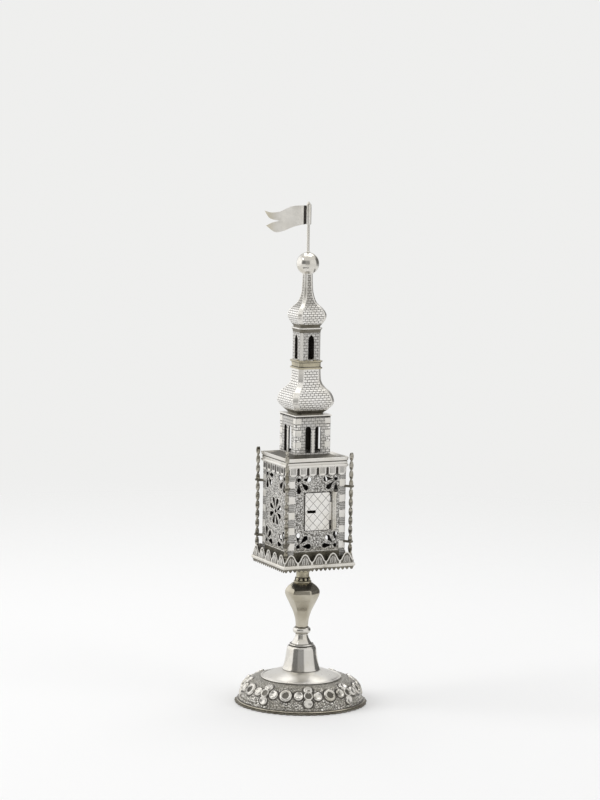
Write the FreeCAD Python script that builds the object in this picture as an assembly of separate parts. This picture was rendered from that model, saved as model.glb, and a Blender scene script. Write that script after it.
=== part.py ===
import FreeCAD, Part
import math
import os

from FreeCAD import Vector

# Silver spice tower. Millimetres, +Z up, origin at the middle of the foot's underside.
# The door wall faces -Y.

# Foot
rim_radius = 39.2
rim_width = 4.0
rim_height = 1.8
rim_scallop_count = 60
rim_scallop_rise = 0.5
rim_step_inset = 1.5
rim_step_height = 1.6
dome_inset = 3.0
dome_height = 13.1
dome_shoulder_radius = 11.0
foot_sheet = 0.8
disc_inset = 1.1
disc_height = 4.7
disc_lip = 1.0
bell_foot_radius = 11.45
bell_waist_radius = 10.1
bell_waist_height = 4.2
bell_shoulder_radius = 8.8
bell_shoulder_drop = 1.9
bell_top_radius = 7.9
bell_height = 14.5

# Florets and round studs that take turns round the shoulder of the foot
floret_count = 8
floret_heading = -107.4
floret_slope = 35.5
floret_petal_radius = 2.9
floret_petal_sides = 6
floret_petal_across = 5.9
floret_petal_along = 4.4
stud_radius = 3.8
stud_sides = 8
relief_height = 1.3
relief_taper = 1.1

# Stem
socket_lip_radius = 7.25
socket_lip_height = 1.2
socket_base_radius = 6.4
socket_waist_radius = 4.3
socket_waist_height = 4.1
socket_neck_radius = 3.7
socket_height = 7.0
ring_radius = 5.4
ring_height = 4.2
ring_flat_radius = 3.9
ring_band = 1.6
knop_turn = 5.0
collar_height = 12.9
collar_flange_radius = 5.3
collar_flange_height = 2.6
collar_waist_radius = 3.9
collar_cup_radius = 5.1
collar_cup_bottom = 6.9
collar_cup_height = 3.4
collar_head_radius = 6.4
collar_notch_count = 8
collar_notch_width = 0.9
collar_notch_depth = 0.7

# Knop stations: height, width across corners, bow of the edge up to the next station
knop_form = [
    (0.0, 7.8, 0.0),
    (3.6, 8.3, -0.4),
    (9.6, 11.6, 0.0),
    (15.5, 17.3, 0.3),
    (20.4, 21.1, 1.1),
    (26.7, 11.9, 0.0),
]

# Box
box_side = 36.8
box_height = 60.2
wall_sheet = 0.6
plate_side = 45.2
plate_thickness = 1.0
trim_sheet = 0.4
base_wire_height = 2.1
base_wire_depth = 0.7
cresting_height = 7.1
cresting_valley_height = 2.7
cresting_arches = 5
cresting_shoulder_height = 2.6
cresting_shoulder_inset = 1.8
fringe_length = 2.5
fringe_band = 0.9
fringe_teeth = 12

# Pierced work in the walls
fan_inset = 6.4
fan_low_height = 11.0
fan_high_height = 50.6
rosette_height = 30.0
eyelet_radius = 1.2
eyelet_sides = 8
petal_start = 2.4
fan_petal_reach = 8.3
rosette_petal_reach = 8.1
petal_width = 2.6
petal_end_width = 1.6
petal_end_length = 0.8
rosette_petals = 8

# Frieze and parapet
frieze_drop = 7.5
frieze_tabs = 6
frieze_tab_width = 4.5
frieze_tab_length = 4.2
frieze_tab_chamfer = 0.7
frieze_bead_height = 1.8
frieze_bead_depth = 0.7
parapet_height = 3.8
parapet_overlap = 0.7
parapet_sheet = 0.6
parapet_flare = 0.6
parapet_flare_start = 1.4

# Corner columns and their ties
column_stand_off = 1.15
column_width = 2.5
column_thickness = 0.9
column_height = 65.7
front_left_column_height = 68.2
column_half_turns = 12
column_steps_per_half_turn = 4
tie_height = 1.6
tie_wall = 0.4
tie_clearance = 0.03
tie_lug_width = 1.8
tie_grip = 0.7
tie_low_height = 12.0
tie_high_height = 45.0

# Door and hinge
door_left = 7.9
door_right = 7.9
door_bottom_height = 20.4
door_height = 22.2
door_thickness = 0.5
door_corner_radius = 0.6
door_lap = 0.8
door_gap = 0.05
door_opening_right = 8.9
door_slot_length = 5.5
door_slot_height = 1.7
door_slot_inset = 1.4
hinge_offset = 10.0
knuckle_radius = 0.95
knuckle_length = 10.9
hinge_pin_radius = 0.4
hinge_pin_clearance = 0.05
hinge_end_gap = 0.1
hinge_strap_width = 1.2
pin_head_radius = 0.75
pin_head_height = 0.4

# Roof and lower lantern
roof_sheet = 0.5
roof_rise = 3.7
lantern_side = 22.4
lantern_height = 22.5
lantern_sheet = 0.7
lantern_window_width = 3.7
lantern_window_height = 15.8
lantern_window_sill = 0.8
lantern_mullion = 2.6
cap_side = 23.6
cap_thickness = 0.8

# Onion domes, station by station: height above the foot, half side, width of the
# chamfered corner, and how far the wall bows outwards before the next station
big_onion_form = [
    (0.0, 8.5, 2.8, 0.0),
    (0.8, 8.5, 2.8, 0.8),
    (7.3, 13.4, 3.2, 0.4),
    (13.4, 11.6, 3.2, -0.9),
    (18.6, 7.4, 3.0, 0.0),
    (26.6, 7.1, 3.0, 0.0),
]
small_onion_form = [
    (0.0, 6.4, 2.0, 0.0),
    (0.9, 6.4, 2.0, 0.6),
    (6.3, 9.0, 2.2, 0.5),
    (11.5, 7.3, 2.0, -0.6),
    (15.8, 4.1, 1.6, -0.2),
    (20.5, 3.0, 1.4, 0.0),
    (31.5, 2.5, 1.2, 0.0),
]

# Upper lantern with its gallery and cornice
gallery_height = 4.9
gallery_half = 7.1
gallery_chamfer = 2.6
gallery_plate = 0.8
gallery_bead = 1.0
gallery_projection = 0.7
turret_half = 6.6
turret_chamfer = 2.2
turret_sheet = 0.6
turret_height = 16.5
turret_window_width = 3.9
turret_window_height = 14.6
turret_window_sill = 0.8
cornice_height = 3.0
cornice_plate = 0.9
cornice_projection = 0.8
cornice_foot = 0.7

# Finial
ball_radius = 6.7
ball_seat_radius = 3.3
pole_radius = 0.83
pole_length = 16.9
vane_pin_radius = 0.5
vane_clearance = 0.05
vane_end_gap = 0.1
sleeve_radius = 1.6
sleeve_height = 10.6
knob_radius = 0.9
knob_height = 2.3

# Pennant: each edge runs from the last point over a middle to an end, as (reach, drop)
leaf_heading = 155.0
leaf_thickness = 0.4
leaf_root_gap = 0.02
leaf_sway = 1.3
leaf_edges = [
    ((9.1, 0.5), (16.7, 4.0)),
    ((21.7, 4.6), (25.9, 3.5)),
    ((22.8, 7.9), (17.2, 9.4)),
    ((21.2, 10.5), (24.9, 12.3)),
    ((19.5, 16.1), (14.1, 15.2)),
    ((8.0, 12.4), (0.0, 10.6)),
]

# Radii of the foot, from its rim inwards
rim_inner_radius = rim_radius - rim_width
rim_step_radius = rim_radius - rim_step_inset
dome_radius = rim_radius - dome_inset
dome_flat_radius = dome_radius - dome_shoulder_radius
disc_radius = dome_flat_radius - disc_inset

# Heights of the joints between the pieces, from the table up
dome_bottom = rim_height
dome_top = dome_bottom + dome_height
dome_skirt_top = dome_top - dome_shoulder_radius
disc_top = dome_top + disc_height
bell_top = disc_top + bell_height
socket_top = bell_top + socket_height
ring_top = socket_top + ring_height
knop_top = ring_top + knop_form[-1][0]
plate_bottom = knop_top + collar_height
plate_top = plate_bottom + plate_thickness
box_top = plate_top + box_height
roof_top = box_top + roof_sheet + roof_rise
lantern_top = roof_top + lantern_height
cap_top = lantern_top + cap_thickness
big_onion_top = cap_top + big_onion_form[-1][0]
gallery_top = big_onion_top + gallery_height
turret_top = gallery_top + turret_height
cornice_top = turret_top + cornice_height
small_onion_top = cornice_top + small_onion_form[-1][0]
ball_centre = small_onion_top + math.sqrt(ball_radius ** 2 - ball_seat_radius ** 2)
ball_top = ball_centre + math.sqrt(ball_radius ** 2 - pole_radius ** 2)
vane_seat = ball_top + pole_length

box_half = box_side / 2
plate_half = plate_side / 2
column_offset = box_half + column_stand_off + column_width / 2
frieze_bottom = box_top - frieze_drop
parapet_bottom = box_top - parapet_overlap
door_bottom = plate_top + door_bottom_height
door_top = door_bottom + door_height
hinge_axis_y = -(box_half + door_gap + knuckle_radius)

SIDES = {"front": 0, "right": 90, "back": 180, "left": 270}
CORNERS = {"front_right": -45, "back_right": 45, "back_left": 135, "front_left": 225}
UP = Vector(0, 0, 1)
ORIGIN = Vector(0, 0, 0)


def closed_face(points):
    """Flat face with straight edges between the points."""
    return Part.Face(Part.makePolygon(points + points[:1]))


def lathe(edges):
    """Solid turned about Z from edges that close a half section at Y = 0."""
    face = Part.Face(Part.Wire(Part.__sortEdges__(edges)))
    return face.revolve(ORIGIN, UP, 360)


def section_lines(points):
    """Straight edges through (radius, z) points, not closed."""
    corners = [Vector(radius, 0, z) for radius, z in points]
    return [Part.makeLine(a, b) for a, b in zip(corners, corners[1:])]


def arc(start, middle, end):
    """Arc through three points."""
    return Part.Arc(start, middle, end).toShape()


def turned(points):
    """Solid turned about Z from a closed straight-sided section."""
    return lathe(section_lines(points + points[:1]))


def tube(outer, inner, bottom, height):
    """Upright tube on the Z axis."""
    base = Vector(0, 0, bottom)
    return Part.makeCylinder(outer, height, base).cut(Part.makeCylinder(inner, height, base))


def block(x_range, y_range, z_range):
    """Box between two values on each axis."""
    low = Vector(x_range[0], y_range[0], z_range[0])
    size = [pair[1] - pair[0] for pair in (x_range, y_range, z_range)]
    return Part.makeBox(size[0], size[1], size[2], low)


def turn(shape, angle):
    """Copy of a shape turned about Z."""
    copy = shape.copy()
    copy.rotate(ORIGIN, UP, angle)
    return copy


def square_frustum(half_bottom, half_top, bottom, top):
    """Solid between two squares of different sizes."""
    low, high = half_bottom, half_top
    wedge = Part.makeWedge(-low, 0, -low, -high, -high, low, top - bottom, low, high, high)
    wedge.rotate(ORIGIN, Vector(1, 0, 0), 90)
    wedge.translate(Vector(0, 0, bottom))
    return wedge


def square_prism(half, bottom, top):
    """Upright square block about the Z axis."""
    return block((-half, half), (-half, half), (bottom, top))


def chamfered_prism(half, chamfer, bottom, top):
    """Upright square block with its four corners cut to a given width."""
    diagonal = half * math.sqrt(2) - chamfer / 2
    return square_prism(half, bottom, top).common(turn(square_prism(diagonal, bottom, top), 45))


def bowed_line(start, end, bow, outwards):
    """Straight edge, or an arc whose middle stands off the straight line sideways."""
    if bow == 0:
        return Part.makeLine(start, end)
    return arc(start, (start + end) * 0.5 + Vector(outwards * bow, 0, 0), end)


def upright_outline(profile, base, reach, angle):
    """Slab whose outline, seen level, follows (height, half width, bow) stations on both sides."""
    edges = []
    for side in (-1, 1):
        for (low, low_width, bow), (high, high_width, _) in zip(profile, profile[1:]):
            start = Vector(side * low_width, -reach, base + low)
            end = Vector(side * high_width, -reach, base + high)
            edges.append(bowed_line(start, end, bow, side))
    for z, width, _ in (profile[0], profile[-1]):
        edges.append(Part.makeLine(Vector(-width, -reach, base + z), Vector(width, -reach, base + z)))
    outline = Part.Wire(Part.__sortEdges__(edges))
    return turn(Part.Face(outline).extrude(Vector(0, 2 * reach, 0)), angle)


def onion(form, base):
    """Square dome with chamfered corners that follows a form."""
    faces = [(z, half, bow) for z, half, chamfer, bow in form]
    corners = [(z, half * math.sqrt(2) - chamfer / 2, bow * math.sqrt(2)) for z, half, chamfer, bow in form]
    reach = 2 * max(half for _, half, _, _ in form)
    dome = upright_outline(faces, base, reach, 0)
    dome = dome.common(upright_outline(faces, base, reach, 90))
    dome = dome.common(upright_outline(corners, base, reach, 45))
    return dome.common(upright_outline(corners, base, reach, 135))


def mitre(shape, reach):
    """Front strip with both ends cut at 45 degrees, to meet the strips of the next sides."""
    low = shape.BoundBox.ZMin
    high = shape.BoundBox.ZMax
    wedge = closed_face([Vector(0, 0, low), Vector(-reach, -reach, low), Vector(reach, -reach, low)])
    return shape.common(wedge.extrude(Vector(0, 0, high - low)))


def moulding(section, half):
    """Mitred front strip with a closed section of edges in the YZ plane at X = -half."""
    face = Part.Face(Part.Wire(Part.__sortEdges__(section)))
    return mitre(face.extrude(Vector(2 * half, 0, 0)), half)


def half_round(inner, depth, bottom, height):
    """Mitred front strip of half-round wire that lies against a flat side."""
    outer = inner + depth
    low = Vector(-outer, -inner, bottom)
    high = Vector(-outer, -inner, bottom + height)
    crown = Vector(-outer, -outer, bottom + height / 2)
    return moulding([Part.makeLine(low, high), arc(high, crown, low)], outer)


def front_sheet(outline, outer, thickness):
    """Mitred front sheet with an outline of (x, z) points at Y = -outer."""
    face = closed_face([Vector(x, -outer, z) for x, z in outline])
    return mitre(face.extrude(Vector(0, thickness, 0)), outer)


def all_sides(name, front):
    """The same strip on the four sides of the box."""
    return {f"{name}_{side}": turn(front, angle) for side, angle in SIDES.items()}


# Foot and stem


def foot_rim():
    """Flat ring with a scalloped edge and a plain step round the foot of the dome."""
    pitch = 2 * math.pi / rim_scallop_count
    points = []
    for index in range(rim_scallop_count):
        for share, rise in ((0, 0), (0.5, rim_scallop_rise)):
            angle = (index + share) * pitch
            radius = rim_radius + rise
            points.append(Vector(radius * math.cos(angle), radius * math.sin(angle), 0))
    flange = closed_face(points).extrude(Vector(0, 0, rim_height))
    flange = flange.cut(Part.makeCylinder(rim_inner_radius, rim_height))
    step = tube(rim_step_radius, dome_radius, rim_height, rim_step_height)
    return flange.fuse(step).removeSplitter()


def foot_dome():
    """Raised shell with a round shoulder and a flat top that carries the disc."""
    centre = Vector(dome_flat_radius, 0, dome_skirt_top)
    slope = Vector(math.cos(math.pi / 4), 0, math.sin(math.pi / 4))
    shoulder_end = Vector(centre.x, 0, dome_top)
    edges = section_lines([
        (centre.x, dome_top),
        (0, dome_top),
        (0, dome_top - foot_sheet),
        (centre.x, dome_top - foot_sheet),
        (dome_radius - foot_sheet, dome_skirt_top),
        (dome_radius - foot_sheet, dome_bottom),
        (dome_radius, dome_bottom),
        (dome_radius, dome_skirt_top),
    ])
    edges.append(arc(Vector(dome_radius, 0, dome_skirt_top), centre + slope * dome_shoulder_radius, shoulder_end))
    return lathe(edges)


def stud(radius, sides):
    """Low faceted stud on the XY plane, narrower at its head."""
    rings = []
    for reach, z in ((radius, 0), (radius - relief_taper, relief_height)):
        angles = [2 * math.pi * (index + 0.5) / sides for index in range(sides)]
        rings.append([Vector(reach * math.cos(angle), reach * math.sin(angle), z) for angle in angles])
    low, high = rings
    faces = [closed_face(low), closed_face(high)]
    for a in range(sides):
        b = (a + 1) % sides
        faces.append(closed_face([low[a], low[b], high[b], high[a]]))
    return Part.makeSolid(Part.makeShell(faces))


def on_shoulder(shape, slope, heading):
    """Copy of a shape from the XY plane, with that plane tangent to the dome's round shoulder."""
    copy = shape.copy()
    copy.translate(Vector(dome_flat_radius, 0, dome_top))
    copy.rotate(Vector(dome_flat_radius, 0, dome_skirt_top), Vector(0, 1, 0), 90 - slope)
    return turn(copy, heading)


def floret(heading):
    """Four petals round an open middle."""
    reach = dome_flat_radius + dome_shoulder_radius * math.cos(math.radians(floret_slope))
    across = math.degrees(floret_petal_across / reach)
    along = math.degrees(floret_petal_along / dome_shoulder_radius)
    petal_stud = stud(floret_petal_radius, floret_petal_sides)
    petals = [on_shoulder(petal_stud, floret_slope, heading + side * across) for side in (-1, 1)]
    return petals + [on_shoulder(petal_stud, floret_slope + side * along, heading) for side in (-1, 1)]


def foot_florets():
    """Florets and round studs in turn, soldered to the shoulder of the dome."""
    pitch = 360 / floret_count
    round_stud = stud(stud_radius, stud_sides)
    pieces = []
    for index in range(floret_count):
        heading = floret_heading + index * pitch
        pieces += floret(heading)
        pieces.append(on_shoulder(round_stud, floret_slope, heading + pitch / 2))
    return Part.makeCompound(pieces)


def foot_disc():
    """Smooth plate with a lip, rising as a low cone to the bell."""
    return turned([
        (0, disc_top),
        (bell_foot_radius, disc_top),
        (disc_radius - disc_lip, dome_top + disc_lip),
        (disc_radius, dome_top + disc_lip),
        (disc_radius, dome_top),
        (0, dome_top),
    ])


def foot_bell():
    """Plain bell that flares to the disc, with a soft shoulder."""
    return turned([
        (0, disc_top),
        (bell_foot_radius, disc_top),
        (bell_waist_radius, disc_top + bell_waist_height),
        (bell_shoulder_radius, bell_top - bell_shoulder_drop),
        (bell_top_radius, bell_top),
        (0, bell_top),
    ])


def stem_socket():
    """Turned cone with a lip that stands on the bell."""
    lip_top = bell_top + socket_lip_height
    return turned([
        (0, bell_top),
        (socket_lip_radius, bell_top),
        (socket_lip_radius, lip_top),
        (socket_base_radius, lip_top),
        (socket_waist_radius, bell_top + socket_waist_height),
        (socket_neck_radius, socket_top),
        (0, socket_top),
    ])


def stem_ring():
    """Bead between the socket and the knop."""
    slope = (ring_height - ring_band) / 2
    return turned([
        (0, socket_top),
        (ring_flat_radius, socket_top),
        (ring_radius, socket_top + slope),
        (ring_radius, ring_top - slope),
        (ring_flat_radius, ring_top),
        (0, ring_top),
    ])


def stem_knop():
    """Six-sided baluster, widest near its head."""
    to_flat = math.cos(math.pi / 6)
    profile = [(z, to_flat * width / 2, to_flat * bow) for z, width, bow in knop_form]
    reach = max(width for _, width, _ in knop_form)
    baluster = upright_outline(profile, ring_top, reach, knop_turn)
    for angle in (60, 120):
        baluster = baluster.common(upright_outline(profile, ring_top, reach, knop_turn + angle))
    return baluster


def stem_collar():
    """Turned collar with a flange on the knop and a notched cup below the box."""
    flange_top = knop_top + collar_flange_height
    cup_bottom = knop_top + collar_cup_bottom
    cup_top = cup_bottom + collar_cup_height
    collar = turned([
        (0, knop_top),
        (collar_flange_radius, knop_top),
        (collar_flange_radius, flange_top),
        (collar_waist_radius, flange_top),
        (collar_waist_radius, cup_bottom),
        (collar_cup_radius, cup_bottom),
        (collar_cup_radius, cup_top),
        (collar_waist_radius, cup_top),
        (collar_head_radius, plate_bottom),
        (0, plate_bottom),
    ])
    notch = block(
        (collar_cup_radius - collar_notch_depth, collar_cup_radius + collar_notch_depth),
        (-collar_notch_width / 2, collar_notch_width / 2),
        (cup_bottom, cup_top),
    )
    for index in range(collar_notch_count):
        collar = collar.cut(turn(notch, 360 * index / collar_notch_count))
    return collar


# Box


def base_plate():
    """Square floor of the box."""
    return square_prism(plate_half, plate_bottom, plate_top)


def base_wire():
    """Half-round wire round the edge of the base plate."""
    middle = (plate_bottom + plate_top) / 2
    return half_round(plate_half, base_wire_depth, middle - base_wire_height / 2, base_wire_height)


def cresting():
    """Fence of pointed arches that stands inside the base wire."""
    pitch = plate_side / cresting_arches
    valley = plate_top + cresting_valley_height
    peak = plate_top + cresting_height
    shoulder = valley + cresting_shoulder_height
    points = [(-plate_half, plate_top), (-plate_half, valley)]
    for index in range(cresting_arches):
        left = -plate_half + index * pitch
        points.append((left + cresting_shoulder_inset, shoulder))
        points.append((left + pitch / 2, peak))
        points.append((left + pitch - cresting_shoulder_inset, shoulder))
        points.append((left + pitch, valley))
    points.append((plate_half, plate_top))
    return front_sheet(points, plate_half, trim_sheet)


def fringe():
    """Band of pointed teeth that hangs under the base plate."""
    pitch = plate_side / fringe_teeth
    root = plate_bottom - fringe_band
    tip = plate_bottom - fringe_length
    points = [(-plate_half, plate_bottom), (-plate_half, root)]
    for index in range(fringe_teeth):
        left = -plate_half + index * pitch
        points.append((left + pitch / 2, tip))
        points.append((left + pitch, root))
    points.append((plate_half, plate_bottom))
    return front_sheet(points, plate_half, trim_sheet)


def petal(centre_x, centre_z, angle, reach):
    """Cutter for one petal: a point near the middle that widens to a blunt end."""
    along = Vector(math.cos(math.radians(angle)), 0, math.sin(math.radians(angle)))
    across = Vector(-along.z, 0, along.x)
    centre = Vector(centre_x, -box_half - wall_sheet, centre_z)
    shoulder = centre + along * (reach - petal_end_length)
    end = centre + along * reach
    points = [
        centre + along * petal_start,
        shoulder - across * (petal_width / 2),
        end - across * (petal_end_width / 2),
        end + across * (petal_end_width / 2),
        shoulder + across * (petal_width / 2),
    ]
    return closed_face(points).extrude(Vector(0, 3 * wall_sheet, 0))


def eyelet(x, z):
    """Cutter for one small chiselled eye."""
    points = []
    for index in range(eyelet_sides):
        angle = 2 * math.pi * (index + 0.5) / eyelet_sides
        offset = Vector(math.cos(angle), 0, math.sin(angle)) * eyelet_radius
        points.append(Vector(x, -box_half - wall_sheet, z) + offset)
    return closed_face(points).extrude(Vector(0, 3 * wall_sheet, 0))


def corner_fans():
    """Cutters for the four fans in the corners of a wall."""
    cutters = []
    fan_x = box_half - fan_inset
    for side in (-1, 1):
        for height, rise in ((fan_low_height, 1), (fan_high_height, -1)):
            z = plate_top + height
            cutters.append(eyelet(side * fan_x, z))
            for share in (0, 45, 90):
                angle = rise * share if side < 0 else 180 - rise * share
                cutters.append(petal(side * fan_x, z, angle, fan_petal_reach))
    return cutters


def rosette():
    """Cutters for the rosette in the middle of a wall."""
    z = plate_top + rosette_height
    step = 360 / rosette_petals
    petals = [petal(0, z, (index + 0.5) * step, rosette_petal_reach) for index in range(rosette_petals)]
    return [eyelet(0, z)] + petals


def plain_wall():
    """One mitred wall sheet before it is pierced."""
    sheet = block((-box_half, box_half), (-box_half, wall_sheet - box_half), (plate_top, box_top))
    return mitre(sheet, box_half)


def pierced_wall():
    """Wall with four fans and a rosette."""
    return plain_wall().cut(corner_fans() + rosette())


def door_wall():
    """Front wall with four fans and the door opening."""
    opening = block(
        (door_lap - door_left, door_opening_right),
        (-box_half - wall_sheet, 2 * wall_sheet - box_half),
        (door_bottom + door_lap, door_top - door_lap),
    )
    return plain_wall().cut(corner_fans() + [opening])


def frieze():
    """Strip with hanging tabs along the top of a wall."""
    outer = box_half + trim_sheet
    pitch = 2 * outer / frieze_tabs
    band_bottom = frieze_bottom + frieze_tab_length
    shoulder = frieze_bottom + frieze_tab_chamfer
    points = [(-outer, parapet_bottom), (-outer, band_bottom)]
    for index in range(frieze_tabs):
        left = -outer + (index + 0.5) * pitch - frieze_tab_width / 2
        right = left + frieze_tab_width
        points += [(left, band_bottom), (left, shoulder), (left + frieze_tab_chamfer, frieze_bottom)]
        points += [(right - frieze_tab_chamfer, frieze_bottom), (right, shoulder), (right, band_bottom)]
    points += [(outer, band_bottom), (outer, parapet_bottom)]
    return front_sheet(points, outer, trim_sheet)


def frieze_bead():
    """Half-round wire on the frieze, under the parapet."""
    bottom = parapet_bottom - frieze_bead_height - trim_sheet / 2
    return half_round(box_half + trim_sheet, frieze_bead_depth, bottom, frieze_bead_height)


def parapet():
    """Band that grips the top of the walls and flares outwards."""
    inner = box_half
    outer = box_half + parapet_sheet
    top = parapet_bottom + parapet_height
    bend = parapet_bottom + parapet_flare_start
    half = outer + parapet_flare
    section = [(inner, parapet_bottom), (inner, bend), (inner + parapet_flare, top)]
    section += [(half, top), (outer, bend), (outer, parapet_bottom), (inner, parapet_bottom)]
    points = [Vector(-half, -y, z) for y, z in section]
    return moulding([Part.makeLine(a, b) for a, b in zip(points, points[1:])], half)


# Columns


def column(tall):
    """Twisted flat strip, standing on the origin."""
    steps = column_half_turns * column_steps_per_half_turn
    half = Vector(column_width / 2, column_thickness / 2, 0)
    rings = []
    for index in range(steps + 1):
        angle = math.pi * index / column_steps_per_half_turn
        height = tall * index / steps
        cos, sin = math.cos(angle), math.sin(angle)
        ring = []
        for x, y in ((-half.x, -half.y), (half.x, -half.y), (half.x, half.y), (-half.x, half.y)):
            ring.append(Vector(x * cos - y * sin, x * sin + y * cos, height))
        rings.append(ring)
    faces = [closed_face(rings[0]), closed_face(rings[-1])]
    for low, high in zip(rings, rings[1:]):
        for a, b in ((0, 1), (1, 2), (2, 3), (3, 0)):
            faces.append(closed_face([low[a], low[b], high[b]]))
            faces.append(closed_face([low[a], high[b], high[a]]))
    return Part.makeSolid(Part.makeShell(faces))


def column_place(angle):
    """Foot of a corner column, seen from the middle of the box."""
    reach = column_offset * math.sqrt(2)
    return Vector(reach * math.cos(math.radians(angle)), reach * math.sin(math.radians(angle)), plate_top)


def corner_column(angle, tall):
    """Column in its corner, its strip's flat side facing outwards at the foot."""
    shape = turn(column(tall), angle + 90)
    shape.translate(column_place(angle))
    return shape


def column_tie(angle, height):
    """Strap round a column with a lug that grips the corner of the box."""
    bore = math.hypot(column_width, column_thickness) / 2 + tie_clearance
    outer = bore + tie_wall
    reach = column_offset * math.sqrt(2)
    corner = box_half * math.sqrt(2)
    levels = (plate_top + height, plate_top + height + tie_height)
    strap = block((reach - outer, reach + outer), (-outer, outer), levels)
    lug = block((corner - tie_grip, reach), (-tie_lug_width / 2, tie_lug_width / 2), levels)
    hole = block((reach - bore, reach + bore), (-bore, bore), levels)
    tie = strap.fuse(lug).cut(hole).removeSplitter()
    return turn(tie, angle).cut(square_prism(box_half, levels[0], levels[1]))


def column_ties():
    """Two ties on every column."""
    ties = []
    for angle in CORNERS.values():
        for height in (tie_low_height, tie_high_height):
            ties.append(column_tie(angle, height))
    return Part.makeCompound(ties)


# Door and hinge


def knuckle(bottom, height):
    """Rolled knuckle about the hinge axis."""
    centre = Vector(hinge_offset, hinge_axis_y, bottom)
    bore = hinge_pin_radius + hinge_pin_clearance
    return Part.makeCylinder(knuckle_radius, height, centre), Part.makeCylinder(bore, height, centre)


def knuckle_levels():
    """Lower and upper end of the door's own knuckle."""
    middle = (door_bottom + door_top) / 2
    return middle - knuckle_length / 2, middle + knuckle_length / 2


def door_leaf():
    """Door with rounded corners and a slot, with its tongue rolled round the hinge pin."""
    back = -box_half - door_gap
    front = back - door_thickness
    leaf = block((-door_left, door_right), (front, back), (door_bottom, door_top))
    corners = [edge for edge in leaf.Edges if abs(edge.tangentAt(edge.FirstParameter).y) > 0.5]
    leaf = leaf.makeFillet(door_corner_radius, corners)
    low, high = knuckle_levels()
    tongue = block((door_right - door_corner_radius, hinge_offset), (front, back), (low, high))
    roll, bore = knuckle(low, high - low)
    slot_left = -door_left + door_slot_inset
    slot_middle = (door_bottom + door_top) / 2
    slot = block(
        (slot_left, slot_left + door_slot_length),
        (front - door_thickness, back + door_thickness),
        (slot_middle - door_slot_height / 2, slot_middle + door_slot_height / 2),
    )
    return leaf.fuse([tongue, roll]).cut([bore, slot]).removeSplitter()


def hinge_strap():
    """Strip on the wall with a knuckle at each end, clear of the door's own knuckle."""
    low, high = knuckle_levels()
    strap_left = hinge_offset + knuckle_radius + hinge_end_gap
    back = -box_half
    front = -box_half - door_thickness
    strap = block((strap_left, strap_left + hinge_strap_width), (front, back), (door_bottom, door_top))
    bores = []
    for bottom, top in ((door_bottom, low - hinge_end_gap), (high + hinge_end_gap, door_top)):
        roll, bore = knuckle(bottom, top - bottom)
        bridge = block((hinge_offset, strap_left), (front, back - door_gap), (bottom, top))
        strap = strap.fuse([roll, bridge])
        bores.append(bore)
    return strap.cut(bores).removeSplitter()


def hinge_pin():
    """Pin through the three knuckles, with a flat head at each end."""
    shank = Part.makeCylinder(hinge_pin_radius, door_height, Vector(hinge_offset, hinge_axis_y, door_bottom))
    for bottom in (door_bottom - pin_head_height, door_top):
        head = Part.makeCylinder(pin_head_radius, pin_head_height, Vector(hinge_offset, hinge_axis_y, bottom))
        shank = shank.fuse(head)
    return shank.removeSplitter()


# Tower above the box


def roof_plate():
    """Low hipped sheet that rises from the walls to the lantern."""
    lantern_half = lantern_side / 2
    edge_top = box_top + roof_sheet
    outer = square_prism(box_half, box_top, edge_top)
    outer = outer.fuse(square_frustum(box_half, lantern_half, edge_top, roof_top))
    hollow = square_frustum(box_half - 2 * wall_sheet, lantern_half, box_top, roof_top - roof_sheet)
    return outer.cut(hollow).removeSplitter()


def arched_window(x, sill, width, height, reach, pointed):
    """Cutter through the front and back faces: a window with a round or pointed head."""
    half = width / 2
    spring = sill + height - (width if pointed else half)
    head = Vector(x, -reach, sill + height)
    left = Vector(x - half, -reach, spring)
    right = Vector(x + half, -reach, spring)
    if pointed:
        bow = Vector(0.85 * half, 0, 0)
        rise = Vector(0, 0, (sill + height - spring) / 2)
        middle = Vector(x, -reach, spring)
        crown = [arc(left, middle - bow + rise, head), arc(head, middle + bow + rise, right)]
    else:
        crown = [arc(left, head, right)]
    low_right = Vector(x + half, -reach, sill)
    low_left = Vector(x - half, -reach, sill)
    jambs = [
        Part.makeLine(right, low_right),
        Part.makeLine(low_right, low_left),
        Part.makeLine(low_left, left),
    ]
    return Part.Face(Part.Wire(crown + jambs)).extrude(Vector(0, 2 * reach, 0))


def lower_lantern():
    """Square lantern with two round-headed windows in each face."""
    half = lantern_side / 2
    shell = square_prism(half, roof_top, lantern_top)
    shell = shell.cut(square_prism(half - lantern_sheet, roof_top, lantern_top))
    offset = (lantern_window_width + lantern_mullion) / 2
    sill = roof_top + lantern_window_sill
    for x in (-offset, offset):
        window = arched_window(x, sill, lantern_window_width, lantern_window_height, lantern_side, False)
        shell = shell.cut([window, turn(window, 90)])
    return shell


def lower_cap():
    """Square plate over the lower lantern."""
    return square_prism(cap_side / 2, lantern_top, cap_top)


def big_onion():
    """Large chamfered dome."""
    return onion(big_onion_form, cap_top)


def upper_gallery():
    """Bead, band and projecting plate between the large dome and the upper lantern."""
    bead_top = big_onion_top + gallery_bead
    plate_low = gallery_top - gallery_plate
    wide = gallery_half + gallery_projection
    bead = chamfered_prism(wide, gallery_chamfer, big_onion_top, bead_top)
    band = chamfered_prism(gallery_half, gallery_chamfer, bead_top, plate_low)
    plate = chamfered_prism(wide, gallery_chamfer, plate_low, gallery_top)
    return bead.fuse([band, plate])


def upper_lantern():
    """Chamfered lantern with a pointed window in each wide face."""
    shell = chamfered_prism(turret_half, turret_chamfer, gallery_top, turret_top)
    shell = shell.cut(chamfered_prism(turret_half - turret_sheet, turret_chamfer, gallery_top, turret_top))
    sill = gallery_top + turret_window_sill
    window = arched_window(0, sill, turret_window_width, turret_window_height, 2 * turret_half, True)
    return shell.cut([window, turn(window, 90)])


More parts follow.
